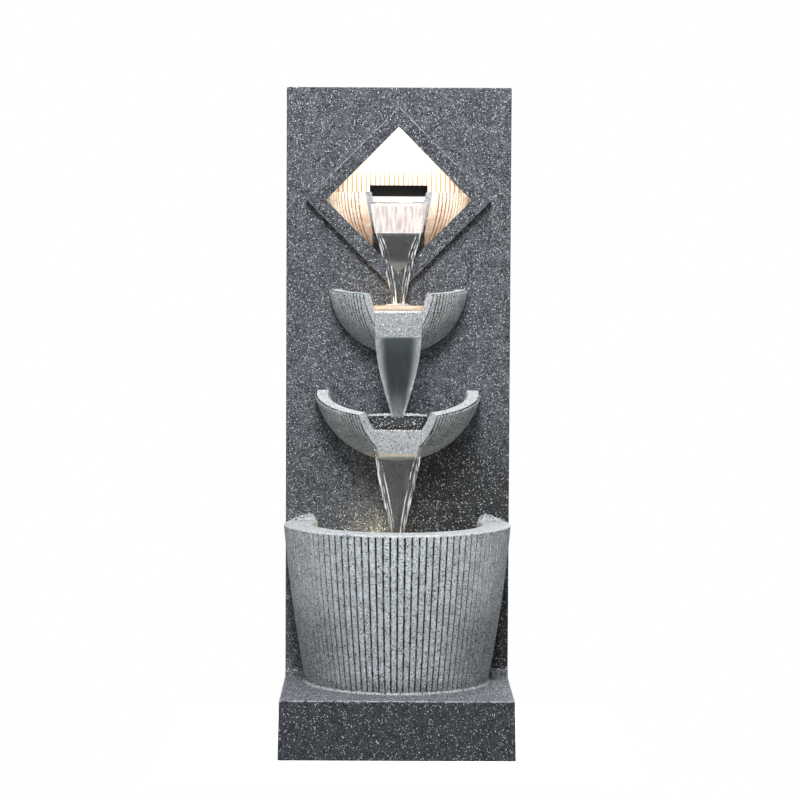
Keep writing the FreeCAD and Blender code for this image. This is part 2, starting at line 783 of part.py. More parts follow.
def make_door_knob():
    """Turned pull with its stud and the flange that holds it inside the door."""
    inner_e = -cover_outside - door_seat_gap
    outer_e = inner_e - door_thickness
    grip = rod_e(knob_x, door_middle_h, knob_radius, outer_e - knob_height, outer_e)
    rim = [e for e in grip.Edges if e.Closed and e.Curve.Center.y > face_y - outer_e + knob_height / 2]
    grip = grip.makeFillet(knob_height / 3, rim)
    stud = rod_e(knob_x, door_middle_h, knob_stud_radius, outer_e, inner_e)
    flange = rod_e(knob_x, door_middle_h, knob_flange_radius, inner_e, inner_e + knob_flange_thickness)
    return joined([grip, stud, flange])


def make_gland():
    """Cord gland with its collar and dome outside the cover and its thread inside, bored right through."""
    collar_end = -cover_outside - gland_collar
    collar = hex_bar(at(gland_x, collar_end, gland_h), V(0, -1, 0), gland_hex, gland_collar)
    dome_end = collar_end - gland_dome
    dome = rod_e(gland_x, gland_h, gland_dome_radius, dome_end, collar_end)
    rim = [e for e in dome.Edges if e.Closed and e.Curve.Center.y > face_y - dome_end - gland_dome / 2]
    dome = dome.makeFillet(gland_dome / 3, rim)
    thread_end = -cover_inside + gland_thread_length
    thread = rod_e(gland_x, gland_h, gland_thread_radius, -cover_outside, thread_end)
    bore = rod_e(gland_x, gland_h, gland_bore_radius, dome_end, thread_end)
    return joined([collar, dome, thread]).cut(bore)


def make_gland_nut():
    nut = hex_bar(at(gland_x, -cover_inside, gland_h), V(0, -1, 0), gland_hex, gland_nut_thickness)
    return nut.cut(rod_e(gland_x, gland_h, gland_thread_radius + thread_gap,
                         -cover_inside, -cover_inside + gland_nut_thickness))


# Niche

def make_frame():
    """Raised diamond frame, rebated at the back for the tray's flange."""
    outer = diamond(frame_outer, 0, frame_thickness)
    front = [e for e in outer.Edges if max(v.Point.y for v in e.Vertexes) < face_y - frame_thickness / 2]
    outer = outer.makeFillet(edge_round, front)
    rebate = diamond(tray_outer + tray_flange + bond_gap, 0, tray_flange_thickness + bond_gap)
    return outer.cut(diamond(frame_inner, 0, frame_thickness)).cut(rebate)


def niche_lead_place():
    """(x, h) where the light bar's lead leaves the back of its left leg, just above the leg's end."""
    h = light_leg_bottom + 2 * lead_radius
    middle = tray_inner - bond_gap - light_channel / math.sqrt(2)
    return -(middle - (h - niche_h)), h


def make_tray():
    """Diamond tray let into the tower, with a fluted back wall and the water slot."""
    body = diamond(tray_outer, -tray_back, 0)
    flange = diamond(tray_outer + tray_flange, 0, tray_flange_thickness)
    tray = joined([body, flange]).cut(diamond(tray_inner, -tray_depth, tray_flange_thickness))
    slot_half = slot_width / 2
    cuts = [slab(-slot_half, slot_half, -tray_back, -tray_depth, slot_bottom, slot_bottom + slot_height)]
    count = int(tray_inner / flute_pitch)
    for k in range(-count, count + 1):
        flute = slab(k * flute_pitch - flute_width / 2, k * flute_pitch + flute_width / 2,
                     -tray_depth - flute_depth, -tray_depth, niche_bowl["rim"], niche_h + tray_inner)
        cuts.append(flute.common(diamond(tray_inner, -tray_back, 0)))
    x, h = niche_lead_place()
    cuts.append(rod_e(x, h, lead_radius + lead_gap, -tray_back, -tray_depth))
    for x, h in box_screw_places():
        cuts.append(rod_e(x, h, screw_radius + thread_gap, -tray_back, -tray_depth - flute_depth))
    return tray.cut(cuts)


def light_layer(outer, inner):
    """Chevron along the niche's two upper walls, between two half diagonals."""
    e1 = -light_setback
    ring = diamond(outer, e1 - light_width, e1).cut(diamond(inner, e1 - light_width, e1))
    return ring.common(slab(-outer, outer, e1 - light_width, e1, light_leg_bottom, niche_h + outer))


def make_light():
    """Light bar's channel and its diffuser."""
    top = tray_inner - bond_gap
    middle = top - light_channel * math.sqrt(2)
    return light_layer(top, middle), light_layer(middle, middle - light_diffuser * math.sqrt(2))


def make_niche_bowl():
    """Shallow ribbed bowl that fills the niche's width, trimmed to the tray and the frame's opening."""
    shell, lip = make_bowl(niche_bowl, -tray_depth)
    reach = niche_bowl["e"] + niche_bowl["radius"]
    in_tray = diamond(tray_inner - bond_gap, -tray_depth, 0)
    in_frame = diamond(frame_inner - bond_gap, 0, 2 * reach)
    return shell.common(joined([in_tray, in_frame])), lip


# Outlet box, hose and fittings

def box_screw_places():
    reach = box_width / 2 + box_ear / 2
    middle = box_bottom + box_height / 2
    return [(-reach, middle), (reach, middle)]


def make_outlet_box():
    """Box behind the water slot, with ears and a hose barb underneath."""
    half = box_width / 2
    top = box_bottom + box_height
    shell = slab(-half, half, -tray_back - box_depth, -tray_back, box_bottom, top)
    hollow = slab(-half + box_wall, half - box_wall, -tray_back - box_depth + box_wall, -tray_back,
                  box_bottom + box_wall, top - box_wall)
    middle = box_bottom + box_height / 2
    ears = slab(-half - box_ear, half + box_ear, -tray_back - box_wall, -tray_back,
                middle - box_ear / 2, middle + box_ear / 2)
    barb = rod_h(0, -hose_depth, hose_bore_radius - thread_gap, box_bottom - barb_length, box_bottom)
    box = joined([shell, ears, barb]).cut(hollow)
    box = box.cut(rod_h(0, -hose_depth, barb_bore_radius, box_bottom - barb_length, box_bottom + box_wall))
    for x, h in box_screw_places():
        box = box.cut(rod_e(x, h, screw_radius + screw_gap, -tray_back - box_wall, -tray_back))
    return box


pump_axis_h = pot_floor + pump_cup_height + pump_height / 2
pump_top = pump_axis_h + pump_height / 2
hose_start = pump_top + grommet_flange_thickness
hose_end = box_bottom - grommet_flange_thickness


def make_hose():
    """Riser hose: up from the pump, through the tower's wall and up to the outlet box."""
    points = [at(0, pump_e, hose_start), at(0, pump_e, hose_h), at(0, -hose_depth, hose_h),
              at(0, -hose_depth, hose_end)]
    return tube(points, [hose_bend, hose_bend], hose_radius, hose_bore_radius)


def hose_clamp(e, h):
    """Spring band round the hose, with its two ears."""
    inner = hose_radius + thread_gap
    outer = inner + clamp_thickness
    top = h + clamp_width
    half = clamp_ear / 2
    band = rod_h(0, e, outer, h, top)
    ear = slab(inner, outer + clamp_ear, e - half, e + half, h, top)
    slot = slab(outer + clamp_thickness, outer + clamp_ear, e - clamp_thickness, e + clamp_thickness, h, top)
    return joined([band, ear]).cut(slot).cut(rod_h(0, e, inner, h, top))


def hose_clip(h):
    """Stand-off clip screwed to the tower's inner wall, with a ring round the hose."""
    half = clip_width / 2
    base_e = -casting_wall - clip_plate_thickness
    plate = slab(-half, half, base_e, -casting_wall, h - clip_plate_height / 2, h + clip_plate_height / 2)
    stem = slab(-clip_stem / 2, clip_stem / 2, -hose_depth + hose_radius, base_e, h - half, h + half)
    inner = hose_radius + lead_gap
    ring = rod_h(0, -hose_depth, inner + clip_ring, h - half, h + half)
    clip = joined([plate, stem, ring]).cut(rod_h(0, -hose_depth, inner, h - half, h + half))
    return clip.cut(rod_e(0, h - clip_screw_drop, screw_radius + screw_gap, base_e, -casting_wall))


def grommet_radius(radius):
    """Outside of the grommet round a hose or lead of the given radius."""
    return radius + lead_gap + grommet_wall


def make_grommet(x, radius):
    """Rubber grommet in the tower's front wall, with a flange on each side."""
    inner = radius + lead_gap
    outer = grommet_radius(radius)
    body = rod_e(x, hose_h, outer, -casting_wall, 0)
    lip = outer + grommet_flange
    front = rod_e(x, hose_h, lip, 0, grommet_flange_thickness)
    back = rod_e(x, hose_h, lip, -casting_wall - grommet_flange_thickness, -casting_wall)
    hole = rod_e(x, hose_h, inner, -casting_wall - grommet_flange_thickness, grommet_flange_thickness)
    return joined([body, front, back]).cut(hole)


# Pump. Its axis runs across the tower, the outlet is on the centre line and the intake faces +X.

volute_back = -volute_length / 2
volute_front = volute_length / 2
body_back = volute_back - pump_length


def pump_block(x0, x1):
    """Pump-sized block with rounded long edges."""
    half = pump_width / 2
    block = slab(x0, x1, pump_e - half, pump_e + half, pump_axis_h - pump_height / 2, pump_top)
    long_edges = [e for e in block.Edges if e.BoundBox.XLength > (x1 - x0) / 2]
    return block.makeFillet(pump_round, long_edges)


def make_pump_body():
    """Sealed motor block with the rotor's well and the lead's socket."""
    lead_boss = rod_h(pump_lead_x, pump_e, 2 * pump_lead_radius, pump_top, pump_top + lead_socket)
    body = joined([pump_block(body_back, volute_back), lead_boss])
    well_end = volute_back - rotor_well_depth
    body = body.cut(rod_x(pump_e, pump_axis_h, rotor_well_radius, well_end, volute_back))
    body = body.cut(rod_x(pump_e, pump_axis_h, shaft_radius + shaft_fit, well_end - shaft_socket, well_end))
    socket = pump_lead_radius + thread_gap
    return body.cut(rod_h(pump_lead_x, pump_e, socket, pump_top, pump_top + lead_socket))


def make_volute():
    """Impeller chamber with the intake, the spider that holds the shaft, and the outlet barb."""
    barb = rod_h(0, pump_e, hose_bore_radius - thread_gap, pump_top, pump_top + barb_length)
    body = joined([pump_block(volute_back, volute_front), barb])
    chamber_end = volute_back + chamber_length
    body = body.cut(rod_x(pump_e, pump_axis_h, chamber_radius, volute_back, chamber_end))
    body = body.cut(rod_h(0, pump_e, barb_bore_radius, pump_axis_h, pump_top + barb_length))
    spider = [rod_x(pump_e, pump_axis_h, spider_hub_radius, chamber_end, volute_front)]
    for k in range(3):
        spoke = slab(chamber_end, volute_front, pump_e - spider_spoke / 2, pump_e + spider_spoke / 2,
                     pump_axis_h, pump_axis_h + intake_radius)
        spoke.rotate(at(0, pump_e, pump_axis_h), V(1, 0, 0), 120 * k)
        spider.append(spoke)
    mouth = rod_x(pump_e, pump_axis_h, intake_radius, chamber_end, volute_front)
    body = body.cut(mouth.cut(joined(spider)))
    return body.cut(rod_x(pump_e, pump_axis_h, shaft_radius + shaft_fit, chamber_end, volute_front))


def make_shaft():
    start = volute_back - rotor_well_depth - shaft_socket
    return rod_x(pump_e, pump_axis_h, shaft_radius, start + shaft_fit, volute_front)


def make_impeller():
    """Sleeve, disc and blades that turn on the shaft."""
    disc_start = volute_back + impeller_end_gap
    sleeve_start = volute_back - rotor_well_depth + impeller_end_gap
    blade_end = disc_start + impeller_disc + blade_length
    sleeve = rod_x(pump_e, pump_axis_h, sleeve_radius, sleeve_start, blade_end)
    disc = rod_x(pump_e, pump_axis_h, impeller_radius, disc_start, disc_start + impeller_disc)
    parts = [sleeve, disc]
    for k in range(blade_count):
        blade = slab(disc_start, blade_end, pump_e - blade_thickness / 2, pump_e + blade_thickness / 2,
                     pump_axis_h, pump_axis_h + impeller_radius - blade_thickness / 2)
        blade.rotate(at(0, pump_e, pump_axis_h), V(1, 0, 0), 360.0 * k / blade_count)
        parts.append(blade)
    bore = rod_x(pump_e, pump_axis_h, shaft_radius + run_gap, sleeve_start, volute_front)
    return joined(parts).cut(bore)


def make_rotor_magnet():
    """Ring magnet on the impeller's sleeve."""
    start = volute_back - rotor_well_depth + 2 * impeller_end_gap
    ring = rod_x(pump_e, pump_axis_h, magnet_ring_radius, start, start + magnet_ring_length)
    return ring.cut(rod_x(pump_e, pump_axis_h, sleeve_radius + shaft_fit, start, start + magnet_ring_length))


strainer_start = volute_front + bond_gap
strainer_end = strainer_start + strainer_length


def make_strainer():
    """Slotted intake cover that pulls off the front of the pump."""
    shell = pump_block(strainer_start, strainer_end)
    half = pump_width / 2 - strainer_wall
    tall = pump_height / 2 - strainer_wall
    shell = shell.cut(slab(strainer_start, strainer_end - strainer_wall, pump_e - half, pump_e + half,
                           pump_axis_h - tall, pump_axis_h + tall))
    cuts = []
    rows = int((pump_height / 2 - pump_round) / strainer_slot_pitch)
    for k in range(-rows, rows + 1):
        h = pump_axis_h + k * strainer_slot_pitch
        low = h - strainer_slot / 2
        cuts.append(slab(strainer_start + pump_round, strainer_end - pump_round,
                         pump_e - pump_width, pump_e + pump_width, low, low + strainer_slot))
    front = strainer_end - strainer_wall
    for turn in (0, 180):
        cuts.append(dial_window(front, strainer_end, turn))
    cuts.append(rod_x(pump_e, pump_axis_h, dial_stem_radius + run_gap, front, strainer_end))
    return shell.cut(cuts)


def dial_window(x0, x1, turn):
    """Quarter-ring window that the dial opens and shuts."""
    inner = dial_stem_radius + 2 * strainer_wall
    outer = dial_radius - strainer_wall
    ring = rod_x(pump_e, pump_axis_h, outer, x0, x1).cut(rod_x(pump_e, pump_axis_h, inner, x0, x1))
    corner = slab(x0, x1, pump_e, pump_e + outer, pump_axis_h, pump_axis_h + outer)
    window = ring.common(corner)
    window.rotate(at(0, pump_e, pump_axis_h), V(1, 0, 0), turn)
    return window


def make_dial():
    """Flow dial with two windows, a grip and a stem that snaps into the strainer."""
    start = strainer_end + bond_gap
    end = start + dial_thickness
    disc = rod_x(pump_e, pump_axis_h, dial_radius, start, end)
    grip = slab(end, end + dial_grip_height, pump_e - dial_radius / 2, pump_e + dial_radius / 2,
                pump_axis_h - dial_grip_width / 2, pump_axis_h + dial_grip_width / 2)
    inside = strainer_end - strainer_wall - bond_gap
    stem = rod_x(pump_e, pump_axis_h, dial_stem_radius, inside - dial_snap_length, start)
    snap = rod_x(pump_e, pump_axis_h, dial_snap_radius, inside - dial_snap_length, inside)
    dial = joined([disc, grip, stem, snap])
    return dial.cut([dial_window(start, end, 0), dial_window(start, end, 180)])


def make_suction_cups():
    """Four rubber cups between the pump and the pot's floor."""
    cups = []
    for x in (body_back + pump_cup_radius, volute_front - pump_cup_radius):
        for side in (-1, 1):
            e = pump_e + side * (pump_width / 2 - pump_cup_radius)
            cups.append(Part.makeCone(pump_cup_radius, pump_cup_neck, pump_cup_height, at(x, e, pot_floor)))
    return Part.Compound(cups)


# Lamps, leads and splitter

def make_lamp(lamp):
    """Bulkhead lamp: housing with stem and boot, and its lens."""
    x, h = lamp["x"], lamp["h"]
    back = lamp_gasket_thickness
    front = back + lamp_flange_thickness
    flange = rod_e(x, h, lamp_flange_radius, back, front)
    stem_end = -lead_depth + lamp_boot_size / 2
    stem = rod_e(x, h, lamp_stem_radius, stem_end, back)
    half = lamp_boot_size / 2
    boot = slab(x - half, x + half, -lead_depth - half, stem_end, h - half, h + half)
    housing = joined([flange, stem, boot])
    seat = rod_e(x, h, lamp_lens_radius + thread_gap, front - lamp_flange_thickness / 2, front)
    housing = housing.cut(seat)
    base = rod_e(x, h, lamp_lens_radius, front - lamp_flange_thickness / 2, front + lamp_lens_height)
    rim = [e for e in base.Edges if e.Closed and e.Curve.Center.y < face_y - front]
    lens = base.makeFillet(lamp_lens_height * 0.8, rim)
    return housing, lens


def lead_port(lamp, side):
    """Socket for a lead in the boot's top (side 1) or foot (side -1)."""
    h0 = lamp["h"] + side * lamp_boot_size / 2
    return rod_h(lamp["x"], -lead_depth, lead_radius + thread_gap, min(h0, h0 - side * lead_socket),
                 max(h0, h0 - side * lead_socket))


def lamp_gasket(lamp):
    ring = rod_e(lamp["x"], lamp["h"], lamp_flange_radius - lamp_gasket_thickness, 0, lamp_gasket_thickness)
    return ring.cut(rod_e(lamp["x"], lamp["h"], lamp_stem_radius + screw_gap, 0, lamp_gasket_thickness))


def lamp_nut(lamp):
    nut = hex_bar(at(lamp["x"], -casting_wall, lamp["h"]), V(0, 1, 0), lamp_nut_width, lamp_nut_thickness)
    return nut.cut(rod_e(lamp["x"], lamp["h"], lamp_stem_radius + thread_gap,
                         -casting_wall - lamp_nut_thickness, -casting_wall))


splitter_right = splitter_x + splitter_width / 2
splitter_top = splitter_h + splitter_height / 2
splitter_bottom = splitter_h - splitter_height / 2
port_x = splitter_x + splitter_port_pitch / 2
far_port_x = splitter_x - splitter_port_pitch / 2


def make_splitter():
    """Sealed junction block with sockets for the leads and one for the supply cord."""
    half = splitter_width / 2
    deep = -casting_wall - splitter_depth
    block = slab(splitter_x - half, splitter_x + half, deep, -casting_wall, splitter_bottom, splitter_top)
    ears = slab(splitter_x - splitter_ear, splitter_x + splitter_ear, -casting_wall - splitter_ear_thickness,
                -casting_wall, splitter_bottom - splitter_ear, splitter_top + splitter_ear)
    long_edges = [e for e in block.Edges if e.BoundBox.ZLength > splitter_height / 2]
    body = joined([block.makeFillet(edge_round, long_edges), ears])
    port = lead_radius + thread_gap
    low_end = splitter_bottom + lead_socket
    high_end = splitter_top - lead_socket
    cuts = [rod_h(x, -lead_depth, port, high_end, splitter_top) for x in (port_x, far_port_x)]
    cuts.append(rod_h(port_x, -lead_depth, port, splitter_bottom, low_end))
    cuts.append(rod_h(far_port_x, -lead_depth, gland_bore_radius, splitter_bottom, low_end))
    cuts.append(rod_x(-lead_depth, splitter_h, pump_lead_radius + thread_gap,
                      splitter_right - lead_socket, splitter_right))
    ear_back = -casting_wall - splitter_ear_thickness
    for x, h in splitter_screw_places():
        cuts.append(rod_e(x, h, screw_radius + screw_gap, ear_back, -casting_wall))
    return body.cut(cuts)


def make_pump_lead():
    """Pump's lead: up beside the hose, through its grommet and up to the splitter."""
    points = [at(pump_lead_x, pump_e, pump_top + thread_gap), at(pump_lead_x, pump_e, hose_h),
              at(pump_lead_x, -lead_depth, hose_h), at(pump_lead_x, -lead_depth, splitter_h),
              at(splitter_right - lead_socket + thread_gap, -lead_depth, splitter_h)]
    bend = lead_depth - casting_wall - grommet_flange_thickness
    return tube(points, [hose_bend, bend, hose_bend], pump_lead_radius)


def make_pot_lamp_lead():
    """Up from the pot's lamp, across and into the splitter's foot."""
    start = pot_lamp["h"] + lamp_boot_size / 2 - lead_socket + thread_gap
    end = splitter_bottom + lead_socket - thread_gap
    third = (end - start) / 3
    points = [at(pot_lamp["x"], -lead_depth, start), at(pot_lamp["x"], -lead_depth, start + third),
              at(port_x, -lead_depth, end - third), at(port_x, -lead_depth, end)]
    return tube(points, [hose_bend, hose_bend], lead_radius)


def make_upper_lamp_lead():
    """Down from the upper bowl's lamp, across and into the splitter's top."""
    start = upper_lamp["h"] - lamp_boot_size / 2 + lead_socket - thread_gap
    end = splitter_top - lead_socket + thread_gap
    third = (start - end) / 3
    points = [at(upper_lamp["x"], -lead_depth, start), at(upper_lamp["x"], -lead_depth, start - third),
              at(port_x, -lead_depth, end + third), at(port_x, -lead_depth, end)]
    return tube(points, [hose_bend, hose_bend], lead_radius)


def make_niche_lead():
    """From the light bar through the tray's back, down behind the tower's wall to the splitter's top."""
    x, h = niche_lead_place()
    behind = tray_back + box_depth / 2
    end = splitter_top - lead_socket + thread_gap
    drop = h - end
    points = [at(x, -light_setback - light_width, h), at(x, -behind, h), at(x, -behind, h - drop / 2),
              at(far_port_x, -lead_depth, h - 3 * drop / 4), at(far_port_x, -lead_depth, end)]
    return tube(points, [(behind - tray_back) * 0.8, hose_bend, hose_bend], lead_radius)


# Fasteners

def wall_bolt(x, h):
    """Bolt from inside the tower, through its wall and the seal into a bowl or the pot."""
    head_e = -casting_wall - washer_thickness
    head = hex_bar(at(x, head_e, h), V(0, 1, 0), bolt_head_width, bolt_head_height)
    return joined([head, rod_e(x, h, bolt_radius, head_e, seal_thickness + bolt_bite - thread_gap)])


def wall_washer(x, h):
    ring = rod_e(x, h, washer_radius, -casting_wall - washer_thickness, -casting_wall)
    return ring.cut(rod_e(x, h, bolt_radius + screw_gap, -casting_wall - washer_thickness, -casting_wall))


def deck_bolt(x, e):
    """Bolt from under the deck into the tower's floor."""
    head_h = -casting_wall - washer_thickness
    head = hex_bar(at(x, e, head_h), V(0, 0, -1), bolt_head_width, bolt_head_height)
    return joined([head, rod_h(x, e, bolt_radius, head_h, casting_wall - thread_gap)])


def deck_washer(x, e):
    ring = rod_h(x, e, washer_radius, -casting_wall - washer_thickness, -casting_wall)
    return ring.cut(rod_h(x, e, bolt_radius + screw_gap, -casting_wall - washer_thickness, -casting_wall))


def cover_screw(x, h):
    head = rod_e(x, h, cover_screw_head_radius, -cover_outside - cover_screw_head_height, -cover_outside)
    shank_end = -cover_inside + ledge_thickness - thread_gap
    return joined([head, rod_e(x, h, cover_screw_radius, -cover_outside, shank_end)])


def small_screw(x, h, seat_e, tip_e):
    """Pan-head screw whose head sits at seat_e and whose tip is at tip_e."""
    head = rod_e(x, h, screw_head_radius, seat_e - screw_head_height, seat_e)
    return joined([head, rod_e(x, h, screw_radius, seat_e, tip_e)])


def make_small_screws():
    """Screws of the hose clips, the splitter and the outlet box."""
    wall_tip = -casting_wall + screw_bite
    tray_tip = -tray_depth - flute_depth - thread_gap
    places = [(p, -casting_wall - clip_plate_thickness, wall_tip) for p in clip_screw_places()]
    places += [(p, -casting_wall - splitter_ear_thickness, wall_tip) for p in splitter_screw_places()]
    places += [(p, -tray_back - box_wall, tray_tip) for p in box_screw_places()]
    return Part.Compound([small_screw(x, h, seat, tip) for (x, h), seat, tip in places])


def make_hinge_pins():
    pins = []
    for h in hinge_heights:
        below, knuckle, above = hinge_spans(h)
        pins.append(rod_h(hinge_x, hinge_e, hinge_pin_radius, below[0], above[1]))
    return Part.Compound(pins)


def make_magnets():
    return Part.Compound([rod_e(magnet_x, h, magnet_radius, -cover_outside, -cover_outside + magnet_thickness)
                          for h in magnet_heights])


def make_strikes():
    inner_e = -cover_outside - door_seat_gap
    return Part.Compound([rod_e(magnet_x, h, magnet_radius, inner_e - strike_thickness, inner_e)
                          for h in magnet_heights])


def make_all():
    """Every sub-part by name."""
    parts = {}
    parts["plinth"] = make_plinth()
    parts["tower_shell"] = make_tower()
    parts["rear_cover"] = make_rear_cover()
    parts["access_door"] = make_door()
    parts["door_knob"] = make_door_knob()
    parts["door_hinge_pins"] = make_hinge_pins()
    parts["door_magnets"] = make_magnets()
    parts["door_strike_plates"] = make_strikes()
    parts["cord_gland"] = make_gland()
    parts["cord_gland_nut"] = make_gland_nut()
    parts["diamond_frame"] = make_frame()
    parts["niche_tray"] = make_tray()
    parts["niche_bowl"], parts["niche_lip"] = make_niche_bowl()
    parts["niche_light_channel"], parts["niche_light_diffuser"] = make_light()
    for name, bowl in (("upper_bowl", upper_bowl), ("lower_bowl", lower_bowl)):
        parts[name], parts[name + "_lip"], parts[name + "_seal"] = bowl_with_seal(bowl)
    parts["pot"], parts["pot_seal"] = make_pot()
    parts["grout_beads"] = make_grout_beads()
    parts["bowl_bolts"] = Part.Compound([wall_bolt(x, h) for x, h in wall_bolt_places()])
    parts["bowl_washers"] = Part.Compound([wall_washer(x, h) for x, h in wall_bolt_places()])
    parts["tower_bolts"] = Part.Compound([deck_bolt(x, e) for x, e in tower_bolt_places()])
    parts["tower_washers"] = Part.Compound([deck_washer(x, e) for x, e in tower_bolt_places()])
    parts["cover_screws"] = Part.Compound([cover_screw(x, h) for x, h in cover_screw_places()])
    parts["small_screws"] = make_small_screws()
    parts["outlet_box"] = make_outlet_box()
    parts["riser_hose"] = make_hose()
    clamp_places = ((pump_e, hose_start), (-hose_depth, hose_end - clamp_width))
    parts["hose_clamps"] = Part.Compound([hose_clamp(e, h) for e, h in clamp_places])
    parts["hose_clips"] = Part.Compound([hose_clip(h) for h in clip_heights])
    parts["hose_grommet"] = make_grommet(0, hose_radius)
    parts["lead_grommet"] = make_grommet(pump_lead_x, pump_lead_radius)
    parts["pump_body"] = make_pump_body()
    parts["pump_volute"] = make_volute()
    parts["pump_shaft"] = make_shaft()
    parts["pump_impeller"] = make_impeller()
    parts["pump_rotor_magnet"] = make_rotor_magnet()
    parts["pump_strainer"] = make_strainer()
    parts["pump_flow_dial"] = make_dial()
    parts["pump_suction_cups"] = make_suction_cups()
    for name, lamp, side in (("upper_bowl_lamp", upper_lamp, -1), ("pot_lamp", pot_lamp, 1)):
        housing, lens = make_lamp(lamp)
        parts[name + "_housing"] = housing.cut(lead_port(lamp, side))
        parts[name + "_lens"] = lens
    parts["lamp_gaskets"] = Part.Compound([lamp_gasket(upper_lamp), lamp_gasket(pot_lamp)])
    parts["lamp_nuts"] = Part.Compound([lamp_nut(upper_lamp), lamp_nut(pot_lamp)])
    parts["cable_splitter"] = make_splitter()
    parts["pump_lead"] = make_pump_lead()
    parts["pot_lamp_lead"] = make_pot_lamp_lead()
    parts["upper_bowl_lamp_lead"] = make_upper_lamp_lead()
    parts["niche_light_lead"] = make_niche_lead()
    return parts


def main():
    os.makedirs("parts", exist_ok=True)
    for name, shape in make_all().items():
        solids = shape.Solids
        print("%-24s %2d solids, valid %s, %10.0f mm3" % (name, len(solids), shape.isValid(), shape.Volume))
        shape.exportStep(os.path.join("parts", name + ".step"))


main()
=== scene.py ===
"""Looks of the rockery fountain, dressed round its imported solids: speckled granite with dark grooves,
lit lamps, and the hand-laid grout and the running water as pieces of their own.

Metres, +Z up, in the solids' own frame. Most places are given in the tower's frame, in millimetres:
x to the right, e out of the tower's front face and h above the plinth's deck."""

import json
import math
import random

import bmesh
import bpy
from mathutils import Matrix, Vector, noise


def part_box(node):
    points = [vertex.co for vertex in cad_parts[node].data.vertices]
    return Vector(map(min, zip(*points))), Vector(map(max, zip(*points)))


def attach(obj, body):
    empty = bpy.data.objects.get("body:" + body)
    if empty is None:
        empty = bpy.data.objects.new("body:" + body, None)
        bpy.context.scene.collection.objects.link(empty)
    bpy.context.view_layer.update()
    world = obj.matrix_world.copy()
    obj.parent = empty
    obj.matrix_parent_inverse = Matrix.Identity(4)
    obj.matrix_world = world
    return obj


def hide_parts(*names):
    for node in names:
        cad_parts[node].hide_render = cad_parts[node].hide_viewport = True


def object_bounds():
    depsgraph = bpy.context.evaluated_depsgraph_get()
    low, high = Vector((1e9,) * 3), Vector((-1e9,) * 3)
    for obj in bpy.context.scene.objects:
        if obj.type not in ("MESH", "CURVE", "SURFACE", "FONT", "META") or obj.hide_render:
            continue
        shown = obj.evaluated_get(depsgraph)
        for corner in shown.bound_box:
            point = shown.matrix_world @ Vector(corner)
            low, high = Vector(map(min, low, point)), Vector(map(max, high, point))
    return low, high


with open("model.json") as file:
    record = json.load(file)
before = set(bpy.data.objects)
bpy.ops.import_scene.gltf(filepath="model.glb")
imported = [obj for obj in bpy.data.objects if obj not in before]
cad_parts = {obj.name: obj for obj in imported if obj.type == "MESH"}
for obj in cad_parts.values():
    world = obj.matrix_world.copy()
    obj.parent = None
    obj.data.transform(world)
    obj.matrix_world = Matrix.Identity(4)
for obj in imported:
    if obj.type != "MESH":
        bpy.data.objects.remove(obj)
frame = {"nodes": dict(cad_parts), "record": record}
cad_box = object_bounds()

MM = 0.001
BODY = "fountain"

# Camera, fitted to the photograph
CAMERA_X = -12.0
CAMERA_E = 3800.0
CAMERA_H = 616.66
CAMERA_LENS = 116.04
CAMERA_SENSOR = 36.0
CAMERA_PITCH = -0.0546
CAMERA_YAW = -0.004
CAMERA_ROLL = 0.0048

# Ribbed castings: ball centre, outside radius and wall of each bowl, and three points of the pot's side
NICHE_BOWL = dict(e=-76.0, h=715.0, radius=110.0, wall=14.0)
UPPER_BOWL = dict(e=0.0, h=579.0, radius=102.0, wall=19.0)
LOWER_BOWL = dict(e=22.0, h=446.0, radius=125.0, wall=19.0)
POT_E = 41.0
POT_SIDE = ((134.0, 0.0), (153.0, 115.0), (166.0, 230.0))
POT_WALL = 16.0

# Depths under a casting's outside at which its dark grooves and its pale cut faces start and are full
GROOVE_START = 0.5
GROOVE_FULL = 1.3
POT_GROOVE_START = 1.3
POT_GROOVE_FULL = 2.2
CUT_START = 2.6
CUT_FULL = 4.0

# Ground edges beside the niche bowl's notch: half distance between them at their lower end, its height
# and how far they lean out per millimetre of height
CHEEK_X = 40.0
CHEEK_H = 665.0
CHEEK_LEAN = 0.19

# Hand-laid grout: the pot's rim, the mound on each of its ends, with the share of the rim's width at which it
# is highest, and the bead round the pot's foot, which starts this far out from the tower. Lumps are the share
# by which the grout is uneven
RIM_WIDTH = 42.0
RIM_ROUND = 2.5
MOUND_HEIGHT = 11.0
MOUND_REACH = 13.0
MOUND_PEAK = 0.68
MOUND_LEAST = 0.06
MOUND_LUMPS = 0.22
FOOT_BEAD = 4.5
FOOT_BEAD_LUMPS = 0.4
FOOT_BEAD_BACK_E = 11.0

# Rust stains and painted shade on the stone, by height (H) or across (X): where each starts and where it is
# full
# Painted shade low on the tower's front, more to its right
TOWER_SHADE_H = (390.0, 310.0)
TOWER_SHADE_X = (-60.0, 70.0)
# Painted shade low on the pot, most at its sides, and all round just above the deck
POT_SHADE_H = (150.0, 70.0)
POT_SHADE_X = (40.0, 115.0)
POT_FOOT_SHADE_H = (42.0, 4.0)
RUST_WASH_H = (720.0, 650.0)
RUST_WASH_X = (100.0, 60.0)
# Painted shade under the niche bowl's lip
UNDER_LIP_SHADE_H = (656.0, 650.0)
UNDER_LIP_SHADE_X = (40.0, 37.0)
FLUTE_RUST_H = (768.0, 730.0)

# How far the niche's back lies behind the tower's face, and how far down the deck's arris is painted as a
# highlight
NICHE_DEPTH = 36.0
ARRIS_BAND = 2.4

